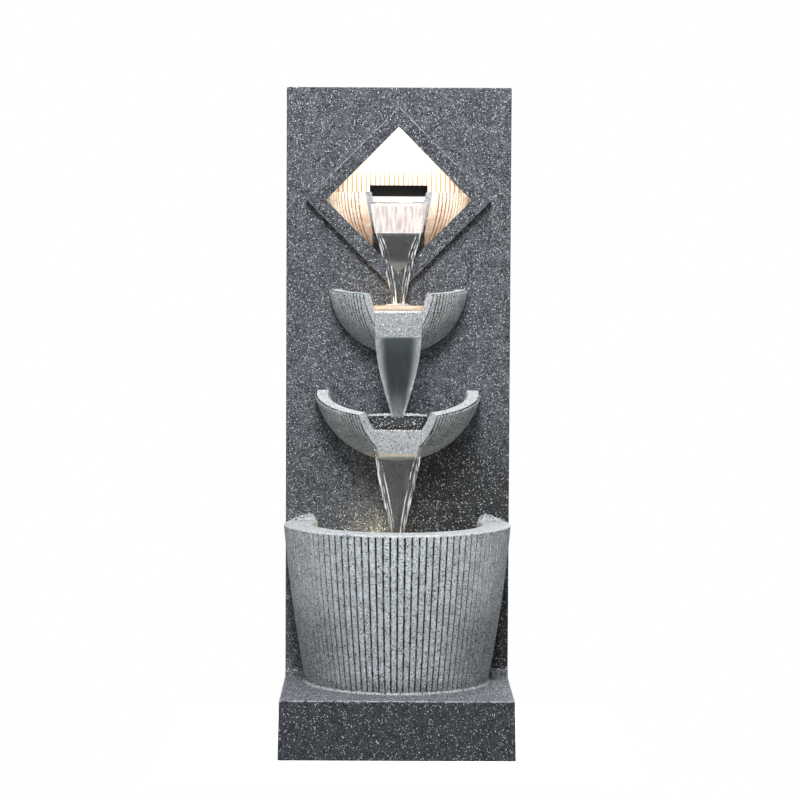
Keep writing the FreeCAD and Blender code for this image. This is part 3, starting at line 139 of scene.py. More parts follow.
# Water: lips it runs over (e, h), its level above each lip's top, where each fall lands, half its width there
# and how early it narrows
NICHE_LIP = dict(top=(17.0, 697.0), bottom=(21.0, 654.0), depth=3.0, half=33.3)
UPPER_LIP = dict(top=(71.0, 541.0), bottom=(74.5, 503.5), depth=7.5, half=33.6)
LOWER_LIP = dict(top=(92.0, 370.0), bottom=(80.0, 331.0), depth=4.0, half=33.2)
POT_WATER_H = 180.0
NICHE_LAND = (27.0, 546.0)
LOWER_SWELL_H = 17.0
UPPER_LAND = (79.0, LOWER_LIP["top"][1] + LOWER_LIP["depth"] + LOWER_SWELL_H)
LOWER_LAND = (87.0, POT_WATER_H)
FALL_END = 8.0
NICHE_DRAW = (0.37, 0.71)
UPPER_DRAW = (0.17, 0.53)
LOWER_DRAW = (0.38, 0.88)

tower_low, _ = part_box("tower_shell")
face_y = tower_low.y
deck_z = tower_low.z


def at(x, e, h):
    """Point in the solids' frame, in metres, from millimetres in the tower's own frame."""
    return Vector((x * MM, face_y - e * MM, deck_z + h * MM))


# Materials

class Graph:
    """Short way to build the nodes of a new material or world."""

    def __init__(self, name, kind="materials"):
        self.owner = getattr(bpy.data, kind).new(name)
        self.owner.use_nodes = True
        self.nodes = self.owner.node_tree.nodes
        self.links = self.owner.node_tree.links
        self.nodes.clear()
        self.place = self.add("ShaderNodeTexCoord").outputs["Object"]

    def add(self, kind, inputs=None, **settings):
        node = self.nodes.new(kind)
        for key, value in settings.items():
            setattr(node, key, value)
        for key, value in (inputs or {}).items():
            self.put(node.inputs[key], value)
        return node

    def put(self, socket, value):
        if isinstance(value, bpy.types.NodeSocket):
            self.links.new(value, socket)
        else:
            socket.default_value = value

    def math(self, operation, a, b=0.0):
        return self.add("ShaderNodeMath", {0: a, 1: b}, operation=operation).outputs[0]

    def product(self, *factors):
        result = factors[0]
        for factor in factors[1:]:
            result = self.math("MULTIPLY", result, factor)
        return result

    def step(self, value, low, high):
        """Smooth rise from 0 at low to 1 at high, or the other way round where low is above high."""
        inputs = {"Value": value, "From Min": low, "From Max": high}
        if low > high:
            inputs = {"Value": value, "From Min": high, "From Max": low, "To Min": 1.0, "To Max": 0.0}
        node = self.add("ShaderNodeMapRange", inputs, interpolation_type="SMOOTHSTEP")
        return node.outputs["Result"]

    def mix(self, share, a, b):
        node = self.add("ShaderNodeMix", data_type="RGBA")
        self.put(node.inputs[0], share)
        self.put(node.inputs[6], a)
        self.put(node.inputs[7], b)
        return node.outputs[2]

    def noise(self, cell, detail=2.0, roughness=0.5):
        """Cloudy value from 0 to 1, with features of about the given size in millimetres."""
        scale = 1 / (cell * MM)
        node = self.add("ShaderNodeTexNoise", {"Vector": self.place, "Scale": scale, "Detail": detail,
                                               "Roughness": roughness})
        return node.outputs[0]

    def grains(self, cell):
        """Value from 0 to 1, the same all over one crystal of about the given size in millimetres."""
        node = self.add("ShaderNodeTexVoronoi", {"Vector": self.place, "Scale": 1 / (cell * MM)})
        return self.add("ShaderNodeSeparateColor", {"Color": node.outputs["Color"]}).outputs[0]

    def axis(self, letter):
        """Coordinate in millimetres along X, Y or Z."""
        split = self.add("ShaderNodeSeparateXYZ", {"Vector": self.place})
        return self.math("MULTIPLY", split.outputs[letter], 1 / MM)

    def height(self):
        """Height above the plinth's deck in millimetres."""
        return self.math("SUBTRACT", self.axis("Z"), deck_z / MM)

    def aside(self):
        """Distance from the middle plane in millimetres."""
        return self.math("ABSOLUTE", self.axis("X"))

    def finish(self, shader, output="ShaderNodeOutputMaterial"):
        self.add(output, {"Surface": shader})
        return self.owner

    def surface(self, colour, roughness, height=None, relief=0.0, **sockets):
        """Principled surface with optional relief in millimetres, and other sockets by name."""
        inputs = {"Base Color": colour, "Roughness": roughness}
        inputs.update({name.replace("_", " "): value for name, value in sockets.items()})
        if height is not None:
            bump = self.add("ShaderNodeBump", {"Height": height, "Distance": relief * MM, "Strength": 1.0})
            inputs["Normal"] = bump.outputs[0]
        shader = self.add("ShaderNodeBsdfPrincipled", inputs).outputs[0]
        return self.finish(shader)


def rgb(red, green, blue):
    """Linear colour from the 0 to 255 values that a picture shows."""
    def linear(value):
        share = value / 255
        return share / 12.92 if share < 0.04045 else ((share + 0.055) / 1.055) ** 2.4
    return (linear(red), linear(green), linear(blue), 1.0)


WHITE = (1.0, 1.0, 1.0, 1.0)
STONE_SHEEN = 0.15
WHITE_SPECK = rgb(224, 227, 232)
BLACK_SPECK = rgb(18, 20, 24)


def granite(g, ground, deep, white, black, cell=1.0):
    """Fine crystals between a deep and a ground colour, with shares of white and black ones."""
    clouds = g.step(g.noise(17, 4, 0.6), 0.35, 0.65)
    tone = g.math("ADD", g.math("MULTIPLY", clouds, 0.2), g.math("MULTIPLY", g.grains(cell), 0.8))
    colour = g.mix(tone, deep, ground)
    lot = g.grains(cell * 1.06)
    colour = g.mix(g.step(lot, black, black * 0.8), colour, BLACK_SPECK)
    return g.mix(g.step(lot, 1 - white, 1 - white * 0.8), colour, WHITE_SPECK)


def pitted(g):
    """Height of sand-blasted stone."""
    return g.math("ADD", g.noise(1.5, 1, 0.6), g.math("MULTIPLY", g.noise(5.0, 2, 0.6), 0.6))


def painted_edge_highlight(g, edge, most, colour):
    """Painted highlight: stone made pale in patches where the mask of an edge is set."""
    highlight_share = g.math("MULTIPLY", edge, g.step(g.noise(6, 2), 0.3, 0.6))
    return g.mix(g.math("MULTIPLY", highlight_share, most), colour, rgb(190, 194, 200))


def tower_stone():
    """Dark granite, with painted shade low on its front behind the lowest fall, most of all on its right."""
    g = Graph("tower_stone")
    unshaded_granite = granite(g, rgb(132, 137, 145), rgb(16, 18, 22), white=0.04, black=0.22, cell=0.95)
    # Darker copy of the granite: painted shade
    painted_shade = granite(g, rgb(82, 84, 85), rgb(8, 9, 9), white=0.04, black=0.26, cell=0.95)
    front = g.step(g.axis("Y"), face_y / MM + 2.0, face_y / MM + 1.0)
    right = g.math("ADD", 0.15, g.math("MULTIPLY", g.step(g.axis("X"), *TOWER_SHADE_X), 0.8))
    low_right_shade = g.product(front, right, g.step(g.height(), *TOWER_SHADE_H), g.step(g.noise(45, 4, 0.6), 0.15, 0.5))
    return g.surface(g.mix(low_right_shade, unshaded_granite, painted_shade), 0.72, pitted(g), 0.7, Specular_IOR_Level=STONE_SHEEN)


def plinth_stone():
    """Dark granite, paler on the deck, which is painted light on its top face, with a painted highlight in
    patches along the deck's arris.
    """
    g = Graph("plinth_stone")
    side = granite(g, rgb(94, 98, 105), rgb(11, 13, 16), white=0.035, black=0.24, cell=0.95)
    deck = granite(g, rgb(143, 146, 154), rgb(30, 33, 38), white=0.08, black=0.16, cell=1.3)
    below = g.math("SUBTRACT", deck_z / MM, g.axis("Z"))
    # The deck's paler copy of the granite: painted light on the top face
    colour = g.mix(g.step(below, 1.2, 0.2), side, deck)
    # Mask of the deck's arris, for its painted highlight
    edge = g.math("MULTIPLY", g.step(below, ARRIS_BAND, ARRIS_BAND - 0.8), g.step(below, 0.05, 0.2))
    colour = painted_edge_highlight(g, edge, 0.7, colour)
    return g.surface(colour, 0.66, pitted(g), 0.7, Specular_IOR_Level=STONE_SHEEN)


def frame_stone():
    """Dark granite, with a painted highlight in patches along the diamond's outer arris."""
    g = Graph("frame_stone")
    low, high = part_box("diamond_frame")
    colour = granite(g, rgb(124, 128, 136), rgb(16, 18, 22), white=0.045, black=0.24, cell=0.95)
    along = g.math("ABSOLUTE", g.math("SUBTRACT", g.axis("Z"), (low.z + high.z) / 2 / MM))
    # Mask of the diamond's outer arris, for its painted highlight
    edge = g.step(g.math("ADD", g.aside(), along), high.x / MM - 2.6, high.x / MM - 1.2)
    colour = painted_edge_highlight(g, edge, 0.55, colour)
    return g.surface(colour, 0.72, pitted(g), 0.7, Specular_IOR_Level=STONE_SHEEN)


def ribbed_stone(name, groove, cut, ground, deep, tint, painted_shade_mask=None):
    """Ribbed casting: groove and cut give the masks of its dark grooves, tinted with painted shade, and its
    pale cut faces; the last mask, if given, lays painted shade on it as a darker copy of its granite."""
    g = Graph(name)
    specks = dict(white=0.08, black=0.08, cell=1.15)
    side = granite(g, ground, deep, **specks)
    # Darker copy of the granite where the last mask is set: painted shade
    if painted_shade_mask:
        side = g.mix(painted_shade_mask(g), side, granite(g, rgb(172, 178, 181), rgb(82, 88, 93), **specks))
    pale = granite(g, rgb(236, 239, 241), rgb(164, 167, 170), **specks)
    colour = g.mix(cut(g), side, pale)
    # Dark tint in the grooves, in patches: painted shade
    groove_shade = g.math("MULTIPLY", groove(g), g.step(g.noise(11, 3, 0.6), 0.15, 0.55))
    colour = g.mix(groove_shade, colour, tint)
    return g.surface(colour, 0.62, pitted(g), 0.5, Specular_IOR_Level=STONE_SHEEN)


def ball_depth(g, bowl):
    """How far under the ball's outside a point lies, in millimetres."""
    centre = at(0, bowl["e"], bowl["h"])
    gap = g.add("ShaderNodeVectorMath", {0: g.place, 1: centre}, operation="DISTANCE").outputs["Value"]
    return g.math("SUBTRACT", bowl["radius"], g.math("MULTIPLY", gap, 1 / MM))


def groove_mask(g, depth, start, full):
    """1 in the grooves: deeper than their start, but not as deep as a cut face."""
    return g.math("MULTIPLY", g.step(depth, start, full), g.step(depth, CUT_FULL, CUT_START))


def bowl_stone(name, bowl, ground, deep, tint):
    def groove(g):
        return groove_mask(g, ball_depth(g, bowl), GROOVE_START, GROOVE_FULL)

    def cut(g):
        depth = ball_depth(g, bowl)
        return g.math("MULTIPLY", g.step(depth, CUT_START, CUT_FULL),
                      g.step(depth, bowl["wall"] - 0.5, bowl["wall"] - 1.5))

    return ribbed_stone(name, groove, cut, ground, deep, tint)


def pot_circle():
    """Centre (radius, height) and radius of the arc through the pot's side, in millimetres."""
    (x1, y1), (x2, y2), (x3, y3) = POT_SIDE
    d = 2 * (x1 * (y2 - y3) + x2 * (y3 - y1) + x3 * (y1 - y2))
    s1, s2, s3 = x1 ** 2 + y1 ** 2, x2 ** 2 + y2 ** 2, x3 ** 2 + y3 ** 2
    cx = (s1 * (y2 - y3) + s2 * (y3 - y1) + s3 * (y1 - y2)) / d
    cy = (s1 * (x3 - x2) + s2 * (x1 - x3) + s3 * (x2 - x1)) / d
    return cx, cy, math.hypot(x1 - cx, y1 - cy)


def pot_radius(h):
    cx, cy, r = pot_circle()
    return cx + math.sqrt(r * r - (h - cy) ** 2)


def pot_stone():
    rim = POT_SIDE[-1][1]

    def depth(g):
        """How far inside the pot's side a point lies."""
        cx, cy, r = pot_circle()
        foot = at(0, POT_E, 0) / MM
        across = g.math("POWER", g.axis("X"), 2.0)
        along = g.math("POWER", g.math("SUBTRACT", g.axis("Y"), foot.y), 2.0)
        radius = g.math("SQRT", g.math("ADD", across, along))
        rise = g.math("POWER", g.math("SUBTRACT", g.axis("Z"), foot.z + cy), 2.0)
        side = g.math("ADD", g.math("SQRT", g.math("SUBTRACT", r * r, rise)), cx)
        return g.math("SUBTRACT", side, radius)

    def groove(g):
        mask = groove_mask(g, depth(g), POT_GROOVE_START, POT_GROOVE_FULL)
        return g.math("MULTIPLY", mask, g.step(g.height(), rim - 1.0, rim - 3.0))

    def cut(g):
        return g.step(g.height(), rim - 3.0, rim - 2.0)

    def painted_shade_mask(g):
        """Painted shade low on the pot, most at its sides, and all round just above the deck."""
        height = g.height()
        sides = g.math("ADD", 0.1, g.math("MULTIPLY", g.step(g.aside(), *POT_SHADE_X), 0.8))
        high = g.math("MULTIPLY", sides, g.step(height, *POT_SHADE_H))
        return g.math("MAXIMUM", high, g.step(height, *POT_FOOT_SHADE_H))

    # Tint is the painted shade in the grooves
    ground, deep, tint = rgb(246, 252, 255), rgb(126, 134, 142), rgb(36, 41, 48)
    return ribbed_stone("pot_stone", groove, cut, ground, deep, tint, painted_shade_mask)


def upper_lip_stone():
    g = Graph("upper_lip_stone")
    colour = granite(g, rgb(164, 167, 171), rgb(92, 95, 99), white=0.08, black=0.15)
    return g.surface(colour, 0.30, pitted(g), 0.35)


def lower_lip_stone():
    """Pale granite, warmer in patches along the edge where the water leaves it."""
    g = Graph("lower_lip_stone")
    colour = granite(g, rgb(220, 223, 227), rgb(142, 145, 149), white=0.08, black=0.15)
    low = LOWER_LIP["bottom"][1]
    edge = g.math("MULTIPLY", g.step(g.height(), low + 5.0, low + 2.0), g.step(g.noise(3, 2), 0.2, 0.6))
    colour = g.mix(edge, colour, rgb(214, 190, 142))
    return g.surface(colour, 0.30, pitted(g), 0.35)


def wet_lip():
    """Niche's lip under running water: pale, with long faint pink streaks."""
    g = Graph("wet_lip")
    stretch = g.add("ShaderNodeMapping", {"Vector": g.place, "Scale": (1.0, 1.0, 0.12)}).outputs[0]
    streaks = g.add("ShaderNodeTexNoise", {"Vector": stretch, "Scale": 260.0, "Detail": 2.0}).outputs[0]
    colour = g.mix(g.step(streaks, 0.42, 0.66), rgb(226, 219, 214), rgb(198, 178, 171))
    return g.surface(colour, 0.25, streaks, 0.5)


def grout():
    """Sandy grout, with a dark line of painted shade where the bead on the deck meets the pot."""
    g = Graph("grout")
    colour = granite(g, rgb(206, 209, 211), rgb(120, 123, 126), white=0.12, black=0.14, cell=1.4)
    height = g.height()
    # Painted shade: a dark line along the top of the foot bead
    foot_shade = g.math("MULTIPLY", g.step(height, 2.0, 4.0), g.step(height, 14.0, 12.0))
    colour = g.mix(g.math("MULTIPLY", foot_shade, 0.85), colour, rgb(46, 50, 54))
    return g.surface(colour, 0.8, g.noise(3.0, 3, 0.7), 1.6)


def niche_stone():
    """Pale niche with rust-brown in its flutes, washed out towards the lamp."""
    g = Graph("niche_stone")
    colour = granite(g, rgb(244, 240, 234), rgb(226, 219, 208), white=0.02, black=0.01)
    behind = g.math("SUBTRACT", g.axis("Y"), (face_y / MM) + NICHE_DEPTH)
    rust = g.math("MULTIPLY", g.step(behind, 0.3, 1.0), g.step(g.height(), *FLUTE_RUST_H))
    colour = g.mix(rust, colour, rgb(196, 150, 104))
    return g.surface(colour, 0.6, pitted(g), 0.4)


def niche_bowl_stone():
    """Pale ribs with rust-brown grooves, and painted shade under the lip and at the ground edges' lower ends.
    """
    g = Graph("niche_bowl_stone")
    depth = ball_depth(g, NICHE_BOWL)
    height = g.height()
    across = g.aside()
    colour = granite(g, rgb(240, 234, 224), rgb(214, 204, 190), white=0.02, black=0.03)
    groove = groove_mask(g, depth, GROOVE_START, GROOVE_FULL)
    groove = g.math("MULTIPLY", groove, g.step(g.noise(9, 3, 0.6), 0.2, 0.6))
    patches = g.step(g.noise(9, 4, 0.7), 0.3, 0.65)
    wash = g.product(g.step(height, *RUST_WASH_H), g.step(across, *RUST_WASH_X), patches, 0.8)
    colour = g.mix(wash, colour, rgb(206, 148, 98))
    colour = g.mix(groove, colour, rgb(150, 92, 52))
    ground_edge = g.math("ADD", g.math("MULTIPLY", g.math("SUBTRACT", height, CHEEK_H), CHEEK_LEAN), CHEEK_X)
    beside = g.step(g.math("SUBTRACT", across, ground_edge), 0.4, -0.4)
    cut = g.math("MAXIMUM", g.step(depth, CUT_START, CUT_FULL), beside)
    colour = g.mix(cut, colour, granite(g, rgb(170, 172, 180), rgb(104, 107, 114), white=0.05, black=0.14))
    # Painted shade: dark granite under the lip and on the lower ends of the ground edges
    under = g.math("MULTIPLY", g.step(height, *UNDER_LIP_SHADE_H), g.step(across, *UNDER_LIP_SHADE_X))
    ends = g.math("MULTIPLY", g.step(height, CHEEK_H + 2, CHEEK_H - 1), cut)
    painted_shade = g.math("MAXIMUM", under, ends)
    colour = g.mix(painted_shade, colour, granite(g, rgb(72, 76, 72), rgb(34, 37, 35), white=0.03, black=0.12))
    return g.surface(colour, 0.55, pitted(g), 0.4)


def moulded(name, colour, roughness, cell, relief):
    """Plastic or rubber with a fine moulded texture and slightly uneven colour."""
    g = Graph(name)
    faded = tuple(min(1.0, c * 1.35 + 0.004) for c in colour[:3]) + (1.0,)
    tone = g.mix(g.step(g.noise(30, 3), 0.3, 0.7), colour, faded)
    return g.surface(tone, roughness, g.noise(cell, 1), relief)


def metal(name, colour, roughness):
    """Metal with fine scratches and a few dull patches."""
    g = Graph(name)
    dull = tuple(c * 0.7 for c in colour[:3]) + (1.0,)
    tone = g.mix(g.step(g.noise(4, 3), 0.35, 0.7), colour, dull)
    return g.surface(tone, roughness, g.noise(0.6, 2), 0.03, Metallic=1.0)


def lit(name, colour, strength):
    """Lit lens or diffuser: brighter in spots where its light sources sit."""
    g = Graph(name)
    spots = g.step(g.noise(9, 1), 0.3, 0.7)
    glow = g.mix(spots, colour, tuple(min(1.0, c * 1.15) for c in colour[:3]) + (1.0,))
    return g.surface(glow, 0.35, Emission_Color=glow, Emission_Strength=strength)


WATER_IOR = 1.33


def water(name, roughness, clear, colour=WHITE):
    """Water in a bowl, clear or with a share of coloured light in it."""
    g = Graph(name)
    return g.surface(colour, roughness, g.noise(7, 2), 0.25, Transmission_Weight=clear, IOR=WATER_IOR)


def streaked_water(name, stretch, low, high, air, gloss, blur, shade, lip):
    """Fast water: clear, with long bright streaks that hold a share of air, and blurred and shaded below
    its lip."""
    g = Graph(name)
    drawn = g.add("ShaderNodeMapping", {"Vector": g.place, "Scale": (1.0, 1.0, stretch)}).outputs[0]
    streaks = g.add("ShaderNodeTexNoise", {"Vector": drawn, "Scale": 300.0, "Detail": 2.0}).outputs[0]
    clear = g.math("SUBTRACT", 1.0, g.math("MULTIPLY", g.step(streaks, low, high), air))
    free = g.step(g.height(), lip["bottom"][1], lip["bottom"][1] - 5)
    rough = g.math("ADD", 0.04, g.math("MULTIPLY", free, blur))
    tint = g.mix(free, WHITE, shade)
    return g.surface(tint, rough, streaks, 0.2, Transmission_Weight=clear, IOR=WATER_IOR,
                     Specular_IOR_Level=gloss)


def water_with_painted_stone():
    """Water in front of a fall, speckled like dark granite: a painted view of the stone seen through it."""
    g = Graph("water_painted_stone")
    colour = granite(g, rgb(52, 55, 57), rgb(8, 9, 10), white=0.09, black=0.3, cell=1.3)
    return g.surface(colour, 0.3, g.noise(5, 2), 0.4, Transmission_Weight=0.3, IOR=WATER_IOR,
                     Specular_IOR_Level=0.15)


def blurred_water():
    """Fast smooth fall: dark in the middle, misty at its edges, and clear where it runs over the lip."""
    g = Graph("water_blurred")
    edge = g.add("ShaderNodeAttribute", attribute_name="across").outputs["Fac"]
    height = g.height()
    free = g.step(height, UPPER_LIP["bottom"][1] + 1, UPPER_LIP["bottom"][1] - 3)
    low = g.step(height, UPPER_LAND[1] + 45, UPPER_LAND[1])
    mist = g.math("MAXIMUM", g.math("MULTIPLY", g.step(edge, 0.5, 1.0), 0.9), g.math("MULTIPLY", low, 0.5))
    mist = g.product(mist, free, g.step(g.noise(4, 3), 0.0, 0.8))
    tint = g.mix(free, WHITE, g.mix(mist, rgb(146, 158, 164), rgb(240, 243, 245)))
    clear = g.math("SUBTRACT", 1.0, g.math("MULTIPLY", mist, 0.6))
    rough = g.math("ADD", 0.2, g.math("MULTIPLY", free, 0.25))
    return g.surface(tint, rough, Transmission_Weight=clear, IOR=WATER_IOR, Specular_IOR_Level=0.3)


def foam_material():
    g = Graph("foam")
    tone = g.mix(g.step(g.noise(3, 2), 0.35, 0.65), rgb(236, 240, 242), rgb(196, 204, 208))
    return g.surface(tone, 0.25, g.noise(1.2, 1), 0.1, Transmission_Weight=0.35, IOR=WATER_IOR)


def dress_nodes():
    """Gives every solid its material: ribbed castings their own, the rest by the record's slots."""
    # Dark is the painted shade in the bowls' grooves
    side, deep, dark = rgb(240, 247, 246), rgb(124, 132, 133), rgb(40, 46, 47)
    warm = rgb(255, 243, 224)
    own = {
        "tower_shell": tower_stone(),
        "diamond_frame": frame_stone(),
        "plinth": plinth_stone(),
        "niche_lip": wet_lip(),
        "upper_bowl_lip": upper_lip_stone(),
        "lower_bowl_lip": lower_lip_stone(),
        "niche_bowl": niche_bowl_stone(),
        "upper_bowl": bowl_stone("upper_bowl_stone", UPPER_BOWL, side, deep, dark),
        "lower_bowl": bowl_stone("lower_bowl_stone", LOWER_BOWL, side, deep, dark),
        "pot": pot_stone(),
        "outlet_box": moulded("outlet_plastic", rgb(13, 10, 8), 0.7, 0.7, 0.08),
    }
    by_slot = {
        "niche_stone": niche_stone(),
        "grout": grout(),
        "cover_plastic": moulded("cover_plastic", rgb(58, 60, 63), 0.55, 0.8, 0.15),
        "black_plastic": moulded("black_plastic", rgb(26, 26, 28), 0.42, 0.7, 0.08),
        "rubber": moulded("rubber", rgb(30, 30, 30), 0.8, 1.0, 0.1),
        "hose_pvc": moulded("hose_pvc", rgb(120, 126, 126), 0.35, 2.0, 0.05),
        "lead_jacket": moulded("lead_jacket", rgb(24, 24, 24), 0.5, 0.9, 0.06),
        "steel": metal("steel", rgb(196, 197, 200), 0.32),
        "magnet": metal("magnet", rgb(140, 141, 144), 0.4),
        "lens": lit("lens", warm, 6.0),
        "diffuser": lit("diffuser", warm, 24.0),
        "light_metal": metal("light_metal", rgb(216, 217, 220), 0.4),
        "brass": metal("brass", rgb(190, 160, 96), 0.35),
    }
    for row in frame["record"]["subparts"]:
        node = frame["nodes"][row["node"]]
        material = own.get(row["node"]) or by_slot[row["material_slot"]]
        node.data.materials.clear()
        node.data.materials.append(material)


# Pieces

def new_piece(name, build, material):
    """Smooth piece from a bmesh, which it uses up, fixed to the fountain."""
    mesh = bpy.data.meshes.new(name)
    build.to_mesh(mesh)
    build.free()
    piece = bpy.data.objects.new(name, mesh)
    bpy.context.scene.collection.objects.link(piece)
    mesh.materials.append(material)
    for face in mesh.polygons:
        face.use_smooth = True
    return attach(piece, BODY)


# Water

def curve_through(points, count):
    """Points at even steps along a Catmull-Rom curve through the given ones."""
    ends = [points[0]] + list(points) + [points[-1]]
    spans = len(points) - 1
    found = []
    for k in range(count):
        where = k * spans / (count - 1)
        i = min(int(where), spans - 1)
        t = where - i
        a, b, c, d = (Vector(ends[i + j]) for j in range(4))
        found.append(0.5 * (2 * b + (c - a) * t + (2 * a - 5 * b + 4 * c - d) * t ** 2
                            + (3 * b - a - 3 * c + d) * t ** 3))
    return found


FALL_ROWS = 150
FALL_COLUMNS = 56
FALL_FREES = 14.0
STRAND_SIDES = 8


def fall_line(lip, land, half_end, draw):
    """Rows (e, h, half width) of a fall, just off the lip's face and then free, down to where it lands. Draw
    is how early it narrows: the shares of its narrowing that are done one and two thirds of the way down."""
    (e1, h1), (e0, h0) = lip["top"], lip["bottom"]
    deep, half = lip["depth"], lip["half"]
    drop = h0 - land[1]
    path = [(e1 - 12, h1 + deep), (e1 - 4, h1 + deep * 0.9), (e1 + 1.6, h1 - 1.5),
            (0.5 * (e0 + e1) + 1.8, 0.5 * (h0 + h1)), (e0 + 1.9, h0),
            (e0 + 2.2 + 0.15 * (land[0] - e0), h0 - 0.33 * drop),
            (e0 + 2.2 + 0.45 * (land[0] - e0), h0 - 0.67 * drop), (land[0], land[1] - 3)]
    widths = [half + 3, half + 2.5, half + 1.5, half + 0.8, half,
              half + (half_end - half) * draw[0], half + (half_end - half) * draw[1], half_end]
    return curve_through([(e, h, w) for (e, h), w in zip(path, widths)], FALL_ROWS)


def fall(name, lip, land, half_end, draw, seed, material):
    """Thin uneven sheet of water over a lip and down to where it lands, drawn in as it falls and thicker once
    it is free of the lip."""
    line = fall_line(lip, land, half_end, draw)
    h0 = lip["bottom"][1]
    build = bmesh.new()
    front, back = [], []
    shift = random.Random(seed).uniform(0, 50)
    for r, (e, h, w) in enumerate(line):
        before, after = line[max(r - 1, 0)], line[min(r + 1, FALL_ROWS - 1)]
        along = Vector((after[0] - before[0], after[1] - before[1])).normalized()
        out = Vector((-along.y, along.x))
        free = min(1.0, max(0.0, (h0 - h) / FALL_FREES))
        for c in range(FALL_COLUMNS + 1):
            u = 2 * c / FALL_COLUMNS - 1
            edge = math.sqrt(max(0.0, 1 - u ** 8))
            wave = noise.noise(Vector((u * 5 + shift, h * 0.05, 0)))
            swell = (0.15 + 0.45 * free) * wave
            inner = swell - (1.0 + 0.6 * free) * edge
            front.append(build.verts.new(at(u * w, e + out.x * swell, h + out.y * swell)))
            back.append(build.verts.new(at(u * w, e + out.x * inner, h + out.y * inner)))
    close_sheet(build, front, back, FALL_ROWS, FALL_COLUMNS + 1)
    piece = new_piece(name, build, material)
    across = piece.data.attributes.new("across", "FLOAT", "POINT")
    for k in range(len(piece.data.vertices)):
        c = k // 2 % (FALL_COLUMNS + 1)
        across.data[k].value = abs(2 * c / FALL_COLUMNS - 1)


def strands(name, lip, land, half_end, draw, courses, rope, seed, material):
    """Twisting strands along a fall. A course is a strand's place across the fall where it leaves the lip
    and where it lands, from -1 to 1, and its radius."""
    line = [row for row in fall_line(lip, land, half_end, draw) if row[1] < lip["bottom"][1] + 1.5]
    build = bmesh.new()
    shift = random.Random(seed).uniform(0, 50)
    for start_u, end_u, size in courses:
        rings = []
        for r, (e, h, w) in enumerate(line):
            share = r / (len(line) - 1)
            u = start_u + (end_u - start_u) * share ** 0.7
            turn = 2 * math.pi * h / rope + 11 * start_u + shift
            lump = noise.noise(Vector((h * 0.11, 7 * start_u, shift)))
            radius = size * (1 + 0.15 * math.sin(turn) + 0.3 * lump) * (0.35 + 0.65 * min(1.0, share * 9))
            x = u * w + 0.2 * size * math.sin(0.6 * turn)
            ring = []
            for s in range(STRAND_SIDES):
                angle = 2 * math.pi * s / STRAND_SIDES
                ring.append(build.verts.new(at(x + radius * math.cos(angle),
                                               e + 0.6 + 0.7 * radius * math.sin(angle), h)))
            rings.append(ring)
        for low, high in zip(rings, rings[1:]):
            for s in range(STRAND_SIDES):
                n = (s + 1) % STRAND_SIDES
                build.faces.new((low[s], low[n], high[n], high[s]))
        build.faces.new(rings[0])
        build.faces.new(rings[-1])
    bmesh.ops.recalc_face_normals(build, faces=build.faces)
    new_piece(name, build, material)


def close_sheet(build, front, back, rows, columns):
    """Faces of a closed sheet between two grids of points, front out."""
    def spot(grid, r, c):
        return grid[r * columns + c]

    for r in range(rows - 1):
        for c in range(columns - 1):
            build.faces.new((spot(front, r, c), spot(front, r + 1, c),
                             spot(front, r + 1, c + 1), spot(front, r, c + 1)))
            build.faces.new((spot(back, r, c + 1), spot(back, r + 1, c + 1),
                             spot(back, r + 1, c), spot(back, r, c)))
        for c, turn in ((0, 1), (columns - 1, -1)):
            quad = (spot(back, r, c), spot(back, r + 1, c), spot(front, r + 1, c), spot(front, r, c))
            build.faces.new(quad[::turn])
    for c in range(columns - 1):
        for r, turn in ((0, 1), (rows - 1, -1)):
            quad = (spot(front, r, c), spot(front, r, c + 1), spot(back, r, c + 1), spot(back, r, c))
            build.faces.new(quad[::turn])
    bmesh.ops.recalc_face_normals(build, faces=build.faces)


POOL_RINGS = 34
POOL_SPOKES = 132
POOL_GAP = 0.4
POOL_INSET = 0.93


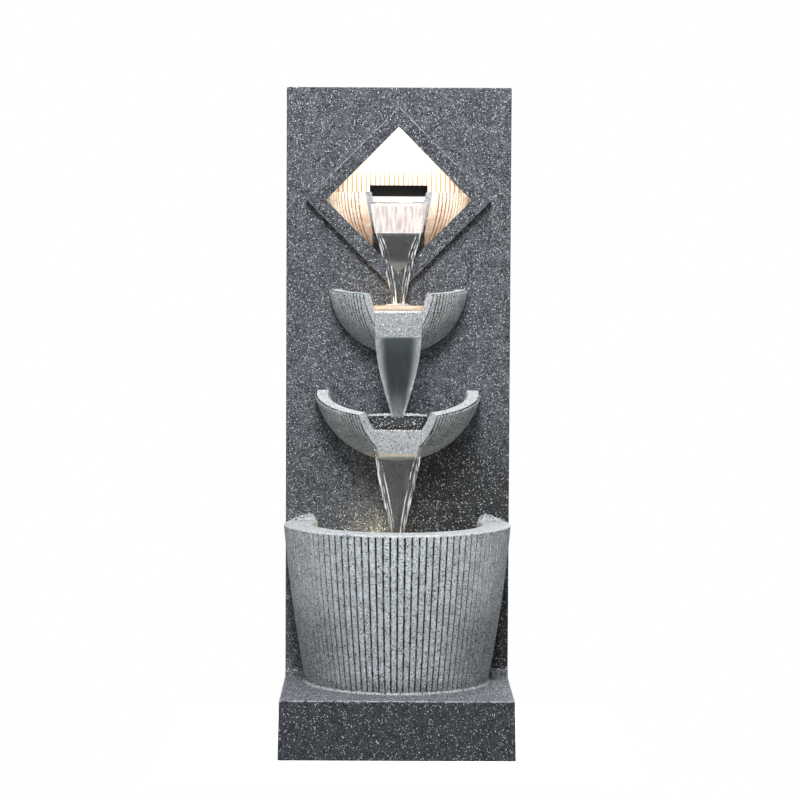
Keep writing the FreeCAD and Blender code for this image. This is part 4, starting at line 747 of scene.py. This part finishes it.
def pool(name, level, centre_e, radius, back_e, front_e, thick, drops, seed, material, swell=None):
    """Water in a bowl: a rippled top over a flat underside, round, and straight at the tower and the lip.
    A swell is the height, the place out from the tower and the length of a standing wave."""
    middle = (back_e + front_e) / 2
    shift = random.Random(seed).uniform(0, 50)
    build = bmesh.new()

    def reach(angle):
        """Distance from the middle to the edge."""
        sx, se = math.sin(angle), math.cos(angle)
        off = middle - centre_e
        far = -off * se + math.sqrt(radius ** 2 - (off * sx) ** 2)
        if se > 1e-6:
            far = min(far, (front_e - middle) / se)
        if se < -1e-6:
            far = min(far, (back_e - middle) / se)
        return far

    def ripple(x, e, share):
        rise = 0.5 * noise.noise(Vector((x * 0.06, e * 0.06, shift)))
        rise += 0.3 * noise.noise(Vector((x * 0.17, e * 0.17, shift + 7)))
        for dx, de, height, length in drops:
            far = math.hypot(x - dx, e - de)
            rise += height * math.cos(2 * math.pi * far / length) * math.exp(-far / (1.6 * length))
        rise = rise * (1 - share ** 6) + 0.5 * share ** 24
        if swell:
            height, peak, length = swell
            rise += height * math.exp(-((e - peak) / length) ** 2) * (1 - share ** 8)
        return rise

    top, foot = [], []
    for ring in range(1, POOL_RINGS + 1):
        share = ring / POOL_RINGS
        for k in range(POOL_SPOKES):
            angle = 2 * math.pi * k / POOL_SPOKES
            far = share * (reach(angle) - POOL_GAP)
            x, e = far * math.sin(angle), middle + far * math.cos(angle)
            top.append(build.verts.new(at(x, e, level + ripple(x, e, share))))
    top_middle = build.verts.new(at(0, middle, level + ripple(0, middle, 0)))
    for k in range(POOL_SPOKES):
        angle = 2 * math.pi * k / POOL_SPOKES
        far = POOL_INSET * reach(angle)
        foot.append(build.verts.new(at(far * math.sin(angle), middle + far * math.cos(angle), level - thick)))
    foot_middle = build.verts.new(at(0, middle, level - thick))
    for k in range(POOL_SPOKES):
        n = (k + 1) % POOL_SPOKES
        build.faces.new((top_middle, top[k], top[n]))
        for ring in range(POOL_RINGS - 1):
            a, b = ring * POOL_SPOKES, (ring + 1) * POOL_SPOKES
            build.faces.new((top[a + k], top[b + k], top[b + n], top[a + n]))
        last = (POOL_RINGS - 1) * POOL_SPOKES
        build.faces.new((top[last + k], foot[k], foot[n], top[last + n]))
        build.faces.new((foot_middle, foot[n], foot[k]))
    bmesh.ops.recalc_face_normals(build, faces=build.faces)
    new_piece(name, build, material)


def foam(name, centre, spread, level, count, largest, seed, material):
    """Heap of bubbles where a fall lands, highest in the middle."""
    draw = random.Random(seed)
    build = bmesh.new()
    for _ in range(count):
        angle = draw.uniform(0, 2 * math.pi)
        share = math.sqrt(draw.random())
        x = centre[0] + spread[0] * share * math.cos(angle)
        e = centre[1] + spread[1] * share * math.sin(angle)
        size = largest * (0.25 + 0.75 * draw.random() ** 2)
        rise = (1 - share ** 2) * draw.random() * largest * 1.4
        squat = Matrix.Diagonal((1, 1, draw.uniform(0.6, 0.9), 1))
        place = Matrix.Translation(at(x, e, level + rise)) @ squat
        bmesh.ops.create_icosphere(build, subdivisions=2, radius=size * MM, matrix=place)
    new_piece(name, build, material)


def level_radius(bowl, h):
    """Inside radius of a bowl at height h."""
    inner = bowl["radius"] - bowl["wall"]
    return math.sqrt(inner ** 2 - (h - bowl["h"]) ** 2)


def lip_level(lip):
    """Height of the water behind a lip."""
    return lip["top"][1] + lip["depth"]


def make_falls():
    sheet = dict(stretch=0.05, low=0.50, high=0.75, air=0.06, gloss=0.12, blur=0.22, shade=rgb(206, 208, 208))
    niche_sheet = streaked_water("niche_water", lip=NICHE_LIP, **sheet)
    lower_sheet = streaked_water("lower_water", lip=LOWER_LIP, **sheet)
    rope = streaked_water("water_rope", stretch=0.10, low=0.44, high=0.64, air=0.8, gloss=0.6, blur=0.02,
                          shade=rgb(250, 251, 252), lip=NICHE_LIP)
    niche = (NICHE_LIP, NICHE_LAND, FALL_END, NICHE_DRAW)
    upper = (UPPER_LIP, UPPER_LAND, FALL_END, UPPER_DRAW)
    lower = (LOWER_LIP, LOWER_LAND, FALL_END, LOWER_DRAW)
    niche_courses = [(-0.97, -0.88, 1.3), (0.97, 0.88, 1.3), (-0.86, -0.26, 0.9), (0.86, 0.30, 0.9),
                     (-0.93, -0.60, 0.6), (0.93, 0.62, 0.6)]
    lower_courses = [(-0.97, -0.92, 1.5), (0.97, 0.92, 1.5), (-0.82, -0.40, 0.9), (0.80, 0.36, 0.9),
                     (-0.91, -0.70, 0.6), (0.91, 0.72, 0.6)]
    fall("niche_fall", *niche, seed=3, material=niche_sheet)
    strands("niche_fall_strands", *niche, courses=niche_courses, rope=19.0, seed=4, material=rope)
    fall("upper_fall", *upper, seed=5, material=blurred_water())
    fall("lower_fall", *lower, seed=8, material=lower_sheet)
    strands("lower_fall_strands", *lower, courses=lower_courses, rope=24.0, seed=9, material=rope)


def bowl_pool(name, bowl, lip, back_e, thick, drops, seed, material, swell=None):
    """Pool behind a bowl's lip."""
    level = lip_level(lip)
    pool(name, level, bowl["e"], level_radius(bowl, level) - 0.5, back_e, lip["top"][0] - 1, thick, drops,
         seed, material, swell)


def make_pools():
    still = water("water_still", 0.03, 1.0)
    # Warm tint of the upper pool: painted light of the lamp in the upper bowl
    warm = water("water_lamp_glow", 0.08, 0.45, rgb(252, 220, 184))
    lower_swell = (LOWER_SWELL_H, UPPER_LAND[0] - 4, 13.0)
    bowl_pool("niche_pool", NICHE_BOWL, NICHE_LIP, back_e=-35.0, thick=2.4, drops=[(0, -30, 0.8, 16)],
              seed=11, material=still)
    bowl_pool("upper_pool", UPPER_BOWL, UPPER_LIP, back_e=1.8, thick=7.2, drops=[(0, NICHE_LAND[0], 1.6, 18)],
              seed=12, material=warm)
    bowl_pool("lower_pool", LOWER_BOWL, LOWER_LIP, back_e=1.8, thick=3.4, drops=[(0, UPPER_LAND[0], 0.4, 11)],
              seed=13, material=water_with_painted_stone(), swell=lower_swell)
    pot_inside = pot_radius(POT_WATER_H) - POT_WALL - 1.0
    pool("pot_pool", POT_WATER_H, POT_E, pot_inside, back_e=1.8, front_e=POT_E + pot_radius(POT_WATER_H),
         thick=6.0, drops=[(0, LOWER_LAND[0], 2.0, 24)], seed=14, material=still)


def make_foam():
    bubbles = foam_material()
    foam("upper_foam", centre=(0, NICHE_LAND[0]), spread=(20, 12), level=lip_level(UPPER_LIP),
         count=150, largest=2.2, seed=21, material=bubbles)
    foam("lower_foam", centre=(0, UPPER_LAND[0] - 9), spread=(43, 5),
         level=lip_level(LOWER_LIP) + LOWER_SWELL_H - 1, count=900, largest=2.4, seed=22, material=bubbles)
    foam("pot_foam", centre=(0, LOWER_LAND[0]), spread=(34, 26), level=POT_WATER_H,
         count=320, largest=3.2, seed=23, material=bubbles)


# Grout

MOUND_ROWS = 16
MOUND_COLUMNS = 44
BEAD_ROWS = 7
BEAD_COLUMNS = 420


def rim_mound(build, side):
    """Mound on one end of the pot's rim, against the tower, highest towards the rim's inner edge."""
    rim_radius, rim_h = POT_SIDE[-1]
    front, back = [], []
    for r in range(MOUND_ROWS):
        turn = 0.5 * math.pi * r / (MOUND_ROWS - 1)
        for c in range(MOUND_COLUMNS):
            share = c / (MOUND_COLUMNS - 1)
            if share < MOUND_PEAK:
                full = (share / MOUND_PEAK) ** 0.75
            else:
                full = math.sqrt(1 - ((share - MOUND_PEAK) / (1 - MOUND_PEAK)) ** 2)
            lump = noise.noise(Vector((share * 9, r * 0.25, 4.0 * side)))
            full = max(MOUND_LEAST, full * (1 + MOUND_LUMPS * lump))
            e = MOUND_REACH * full * (1 - math.cos(turn))
            h = MOUND_HEIGHT * full * (1 - math.sin(turn))
            radius = rim_radius - RIM_ROUND - share * (RIM_WIDTH - 2 * RIM_ROUND)
            x = side * math.sqrt(radius ** 2 - (POT_E - e) ** 2)
            front.append(build.verts.new(at(x, e, rim_h + h)))
            back.append(build.verts.new(at(x, 0.1 * e, rim_h + 0.1 * h)))
    close_sheet(build, front, back, MOUND_ROWS, MOUND_COLUMNS)


def foot_bead(build):
    """Uneven bead round the pot's foot, from one end of the tower's cove to the other."""
    foot = pot_radius(0)
    limit = math.acos((FOOT_BEAD_BACK_E - POT_E) / (foot + FOOT_BEAD))
    front, back = [], []
    for r in range(BEAD_ROWS):
        turn = 0.5 * math.pi * r / (BEAD_ROWS - 1)
        for c in range(BEAD_COLUMNS):
            angle = limit * (2 * c / (BEAD_COLUMNS - 1) - 1)
            lump = noise.noise(Vector((angle * 24, r * 0.3, 9.0)))
            size = FOOT_BEAD * (0.85 + FOOT_BEAD_LUMPS * lump)
            h = size * (1 - math.sin(turn))
            reach = pot_radius(h) + size * (1 - math.cos(turn))
            sunk = foot - 0.2 + 0.1 * (reach - foot)
            front.append(build.verts.new(at(reach * math.sin(angle), POT_E + reach * math.cos(angle), h)))
            back.append(build.verts.new(at(sunk * math.sin(angle), POT_E + sunk * math.cos(angle), 0.1 * h)))
    close_sheet(build, front, back, BEAD_ROWS, BEAD_COLUMNS)


def make_grout():
    """Grout by hand, in place of the plain beads."""
    build = bmesh.new()
    for side in (-1, 1):
        rim_mound(build, side)
    foot_bead(build)
    piece = new_piece("grout_mounds", build, frame["nodes"]["grout_beads"].data.materials[0])
    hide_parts("grout_beads")


# Stage, light and camera

FLOOR_HALF = 8.0
FLOOR_Z = -0.0004


def make_floor():
    mesh = bpy.data.meshes.new("floor")
    corners = [(x * FLOOR_HALF, y * FLOOR_HALF, FLOOR_Z) for x, y in ((-1, -1), (1, -1), (1, 1), (-1, 1))]
    mesh.from_pydata(corners, [], [(0, 1, 2, 3)])
    floor = bpy.data.objects.new("floor", mesh)
    bpy.context.scene.collection.objects.link(floor)
    g = Graph("floor")
    tone = g.mix(seen_rays(g), (0.05, 0.05, 0.05, 1.0), (0.95, 0.95, 0.95, 1.0))
    pale = g.add("ShaderNodeBsdfDiffuse", {"Color": tone}).outputs[0]
    white = g.add("ShaderNodeEmission", {"Color": WHITE, "Strength": 1.0}).outputs[0]
    _, high = cad_box
    aside = g.math("SUBTRACT", g.aside(), high.x / MM)
    ahead = g.math("SUBTRACT", g.math("ABSOLUTE", g.axis("Y")), high.y / MM)
    seen = g.math("MULTIPLY", seen_rays(g), g.step(g.math("MAXIMUM", aside, ahead), 0.0, 180.0))
    shader = g.add("ShaderNodeMixShader", {0: seen, 1: pale, 2: white}).outputs[0]
    mesh.materials.append(g.finish(shader))
    return floor


def seen_rays(g):
    """1 for what the camera sees, straight or through gloss and glass."""
    path = g.add("ShaderNodeLightPath")
    kinds = [path.outputs[kind] for kind in ("Is Camera Ray", "Is Glossy Ray", "Is Transmission Ray")]
    return g.math("MAXIMUM", g.math("MAXIMUM", kinds[0], kinds[1]), kinds[2])


WORLD_LIGHT = 0.22
WORLD_TINT = (0.92, 0.96, 1.0, 1.0)


def make_world():
    """Soft bluish light on the object, and plain white for what is seen of it."""
    g = Graph("studio", "worlds")
    soft = g.add("ShaderNodeBackground", {"Color": WORLD_TINT, "Strength": WORLD_LIGHT}).outputs[0]
    white = g.add("ShaderNodeBackground", {"Color": WHITE, "Strength": 1.0}).outputs[0]
    shader = g.add("ShaderNodeMixShader", {0: seen_rays(g), 1: soft, 2: white}).outputs[0]
    bpy.context.scene.world = g.finish(shader, "ShaderNodeOutputWorld")


def lights_only(light, receiver, shaded):
    """Keeps a lamp to one object, shaded by the others or not."""
    group = bpy.data.collections.new(light.name + "_receiver")
    group.objects.link(receiver)
    light.light_linking.receiver_collection = group
    if not shaded:
        light.light_linking.blocker_collection = group


def area_light(name, place, target, size, power):
    """Square studio lamp: places and size in metres, power in watts."""
    data = bpy.data.lights.new(name, "AREA")
    data.shape = "SQUARE"
    data.size = size
    data.energy = power
    light = bpy.data.objects.new(name, data)
    light.location = place
    light.rotation_mode = "QUATERNION"
    light.rotation_quaternion = (Vector(target) - Vector(place)).to_track_quat("-Z", "Y")
    bpy.context.scene.collection.objects.link(light)
    return light


def glow_light(name, place, power, radius, colour=(1.0, 0.74, 0.42)):
    """Warm light of a lamp, just in front of its lens."""
    data = bpy.data.lights.new(name, "POINT")
    data.energy = power
    data.shadow_soft_size = radius
    data.color = colour
    light = bpy.data.objects.new(name, data)
    light.location = place
    light.visible_camera = False
    light.visible_glossy = False
    light.visible_transmission = False
    bpy.context.scene.collection.objects.link(light)
    return light


def make_lights(floor):
    middle = (0.0, face_y, 0.55)
    area_light("key", (-0.10, -1.90, 2.15), middle, 0.7, 60.0)
    area_light("top", (0.0, -0.75, 2.7), (0.0, -0.1, 0.3), 0.9, 18.0)
    area_light("fill", (0.1, -2.6, 0.5), (0.0, face_y, 0.3), 1.2, 9.0)
    area_light("rear", (0.9, 2.4, 1.8), middle, 1.6, 34.0)
    floor_lamp = area_light("floor_lamp", (0.0, -0.4, 3.0), (0.0, 0.0, 0.0), 3.0, 130.0)
    lights_only(floor_lamp, floor, shaded=True)
    for side, name in ((-1, "niche_glow_left"), (1, "niche_glow_right")):
        glow = glow_light(name, at(side * 190, 120, 770), 1.5, 0.02, (1.0, 0.92, 0.80))
        lights_only(glow, frame["nodes"]["niche_bowl"], shaded=False)
    glow_light("upper_glow", at(-10, 30, 556), 0.03, 0.008)
    glow_light("pot_glow", at(-30, 34, 205), 0.14, 0.01, (1.0, 0.82, 0.50))


def make_camera():
    data = bpy.data.cameras.new("camera")
    data.sensor_width = CAMERA_SENSOR
    data.lens = CAMERA_LENS
    camera = bpy.data.objects.new("camera", data)
    bpy.context.scene.collection.objects.link(camera)
    place = Matrix.Translation(at(CAMERA_X, CAMERA_E, CAMERA_H))
    turn = Matrix.Rotation(CAMERA_YAW, 4, "Z") @ Matrix.Rotation(math.pi / 2 + CAMERA_PITCH, 4, "X")
    camera.matrix_world = place @ turn @ Matrix.Rotation(CAMERA_ROLL, 4, "Z")
    bpy.context.scene.camera = camera


make_camera()
dress_nodes()
make_grout()
make_falls()
make_pools()
make_foam()
make_world()
make_lights(make_floor())
bpy.context.scene.view_settings.view_transform = "Standard"
